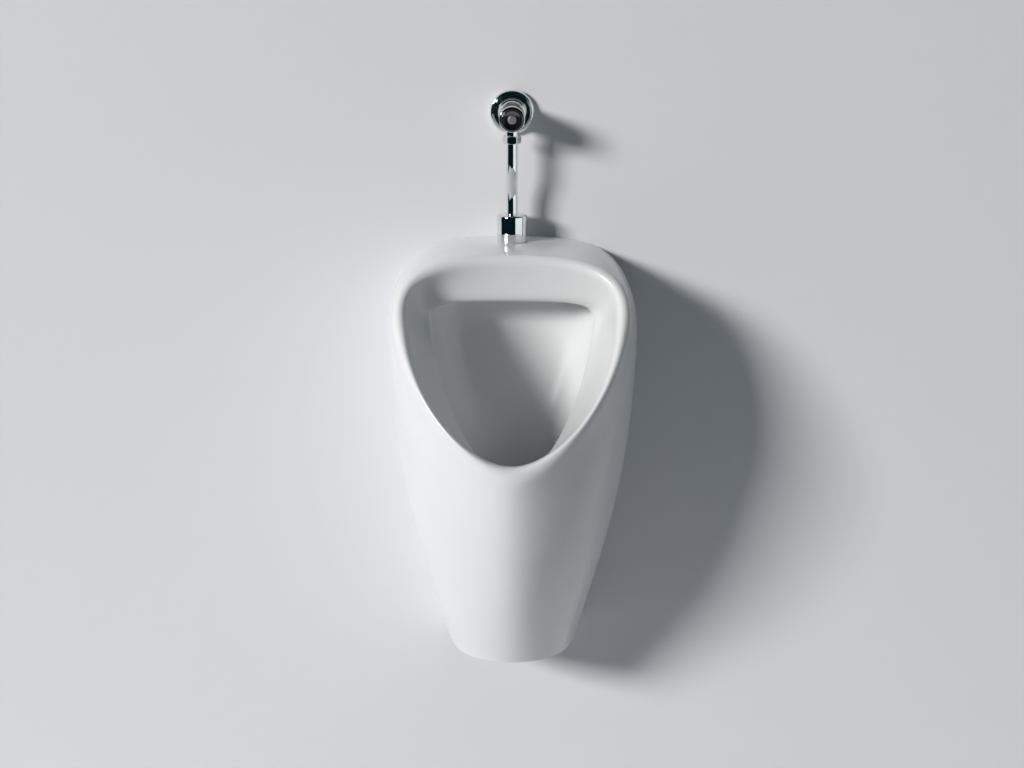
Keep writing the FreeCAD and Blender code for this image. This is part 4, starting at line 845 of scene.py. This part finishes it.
def slip_nut(name, place, outward, thread, lip_bore, low, step, high, node):
    """A hand nut: a skirt from low to step, a lip over the seal from step to high, and finger grooves."""
    nut = turned(name, (
        (thread, low), (NUT_RADIUS, low, 1), (NUT_RADIUS, high, 1), (lip_bore, high, 0.5),
        (lip_bore, step), (thread, step)), place, outward)
    bm = bmesh.new()
    rod_ring(bm, GRIP_COUNT, GRIP_RING, GRIP_RADIUS, min(low, high) - 1, max(low, high) + 1)
    if outward:
        bmesh.ops.transform(bm, matrix=OUTWARD, verts=bm.verts)
    bmesh.ops.translate(bm, vec=place, verts=bm.verts)
    combine(nut, [to_object(bm, name + "_grooves")], "DIFFERENCE")
    shown(shade_smooth(nut, 30), FINISH["white_plastic"], "urinal", "white_plastic", node)


slip_nut("inlet_nut", TRAP, False, 26.1, 21.25, 36, 49, 52, "trap_inlet_nut")
slip_nut("outlet_nut", BRANCH, True, 23.65, 20.25, 50, 37, 34, "trap_outlet_nut")
print("two hand nuts")

# %% Pipe to the drain, and the nipple from the supply
outlet = turned("outlet_pipe", (
    (17, -60), (20, -60, 0.5), (20, 4), (21.5, 4), (21.5, 6.5), (20, 6.5), (20, 56),
    (17, 56)), BRANCH, outward=True)
shown(outlet, FINISH["white_plastic"], "urinal", "white_plastic", "outlet_pipe")
nipple = turned("nipple", (
    (7.98, -30), (10.48, -30, 0.5), (10.48, 1.5), (11.98, 1.5), (11.98, 4), (10.48, 4), (10.48, 18),
    (7.98, 18)), VALVE, outward=True)
shown(nipple, FINISH["brass"], "urinal", "brass", "inlet_nipple")
print("pipe ends in the wall")

# %% [markdown]
# ## Everything else
# Springs, seals, washers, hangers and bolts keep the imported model's own shapes, which are exact and
# small. They only need their finishes, by the slots that the record names.

# %% Finish the carried-over nodes
kept = 0
for entry in frame["record"]["subparts"]:
    node = frame["nodes"][entry["node"]]
    if node.hide_render:
        continue
    node.data.materials.clear()
    node.data.materials.append(FINISH[entry["material_slot"]])
    kept += 1
print(kept, "nodes carried over with a finish")

# %% [markdown]
# ## Stage
# The urinal hangs on a wall, so it has a plain pale wall behind it and a plain pale floor below. Both are
# stage, not part of the object. Looked at from behind they are clear, so that the back of the object can
# be seen too. A wall left out of the render by hand would do that as well, but then each view would need
# its own setting.

# %% Wall and floor
def stage_material(name, colour):
    material, shader = new_material(name)
    tree = material.node_tree
    shader.inputs["Base Color"].default_value = (*colour, 1)
    shader.inputs["Roughness"].default_value = 0.9
    clear = tree.nodes.new("ShaderNodeBsdfTransparent")
    side = tree.nodes.new("ShaderNodeNewGeometry")
    mix = tree.nodes.new("ShaderNodeMixShader")
    tree.links.new(side.outputs["Backfacing"], mix.inputs["Fac"])
    tree.links.new(shader.outputs["BSDF"], mix.inputs[1])
    tree.links.new(clear.outputs["BSDF"], mix.inputs[2])
    tree.links.new(mix.outputs["Shader"], tree.nodes["Material Output"].inputs["Surface"])
    return material


def stage_plane(name, half_size, matrix, material):
    bm = bmesh.new()
    bmesh.ops.create_grid(bm, x_segments=1, y_segments=1, size=half_size)
    bmesh.ops.transform(bm, matrix=matrix, verts=bm.verts)
    mesh = bpy.data.meshes.new(name)
    bm.to_mesh(mesh)
    bm.free()
    plane = bpy.data.objects.new(name, mesh)
    bpy.context.scene.collection.objects.link(plane)
    plane.data.materials.append(material)
    return plane


STAGE_HALF_SIZE = 3.0           # in metres, as everything on the stage is
WALL_GAP = 0.0006               # keeps the stage's wall off the ceramic's back face
FLOOR_HEIGHT = -0.85
pale = stage_material("pale_stage", (0.735, 0.74, 0.765))
wall = stage_plane("wall", STAGE_HALF_SIZE, Matrix.Translation((0, WALL_GAP, 0)) @ OUTWARD, pale)
wall.visible_shadow = False     # lets the lamp behind the wall reach the object's back
stage_plane("floor", STAGE_HALF_SIZE, Matrix.Translation((0, 0, FLOOR_HEIGHT)), pale)
print("wall and floor")

# %% [markdown]
# ## Light and camera
# One large soft lamp stands far to the left, a little above and in front, and throws the broad shade on
# the wall to the right. A long pale panel on the right is there to be mirrored: it gives metal and glaze
# their bright side. A lamp behind the wall lights the hollow back for anyone who looks at it from there.
# The sky is weak and cool, and mirrors see it almost black, as they would see a dark room. The camera
# sees a plain grey backdrop past the stage.

# %% Lamps
AIM = Vector((0.0, -0.1, -0.15))        # the middle of the object, in metres


def soft_lamp(name, towards, distance, width, height, radiance, colour, mirrored_only=False):
    """An area lamp that faces the piece. Its power follows from how bright its face is."""
    lamp = bpy.data.lights.new(name, "AREA")
    lamp.shape = "RECTANGLE"
    lamp.size, lamp.size_y = width, height
    lamp.energy = radiance * math.pi * width * height
    lamp.color = colour
    holder = bpy.data.objects.new(name, lamp)
    holder.location = AIM + Vector(towards).normalized() * distance
    holder.rotation_euler = (AIM - holder.location).to_track_quat("-Z", "Y").to_euler()
    holder.visible_diffuse = not mirrored_only
    bpy.context.scene.collection.objects.link(holder)


soft_lamp("key", (-0.71, -0.64, 0.33), 16, 4.4, 2.6, 69.0, (1.0, 0.985, 0.965))
soft_lamp("panel", (0.84, -0.54, 0.06), 2.6, 3.0, 1.6, 0.9, (0.94, 0.98, 1.0), mirrored_only=True)
soft_lamp("behind", (0.0, 0.93, 0.36), 3.0, 2.0, 2.0, 1.3, (0.95, 0.97, 1.0))
print("three lamps")

# %% Sky
world = bpy.data.worlds.new("sky")
world.use_nodes = True
tree = world.node_tree
sky = tree.nodes["Background"]
sky.inputs["Color"].default_value = (0.15, 0.75, 1.0, 1)
path_kind = tree.nodes.new("ShaderNodeLightPath")
strength = tree.nodes.new("ShaderNodeMapRange")
strength.inputs["To Min"].default_value = 0.035
strength.inputs["To Max"].default_value = 0.012
tree.links.new(path_kind.outputs["Is Glossy Ray"], strength.inputs["Value"])
tree.links.new(strength.outputs["Result"], sky.inputs["Strength"])
backdrop = tree.nodes.new("ShaderNodeBackground")
backdrop.inputs["Color"].default_value = (0.66, 0.67, 0.69, 1)
seen = tree.nodes.new("ShaderNodeMixShader")
tree.links.new(path_kind.outputs["Is Camera Ray"], seen.inputs["Fac"])
tree.links.new(sky.outputs["Background"], seen.inputs[1])
tree.links.new(backdrop.outputs["Background"], seen.inputs[2])
tree.links.new(seen.outputs["Shader"], tree.nodes["World Output"].inputs["Surface"])
bpy.context.scene.world = world
print("sky and backdrop")

# %% Camera, where the photograph's stood
EYE = (0, -2.960, 0.6017)
TILT = math.radians(76.2)       # from looking straight down
camera_data = bpy.data.cameras.new("camera")
camera_data.sensor_width = 36
camera_data.lens = 82.3
camera = bpy.data.objects.new("camera", camera_data)
camera.location = EYE
camera.rotation_euler = (TILT, 0, 0)
bpy.context.scene.collection.objects.link(camera)
bpy.context.scene.camera = camera
bpy.context.scene.view_settings.view_transform = "Standard"
print("camera")
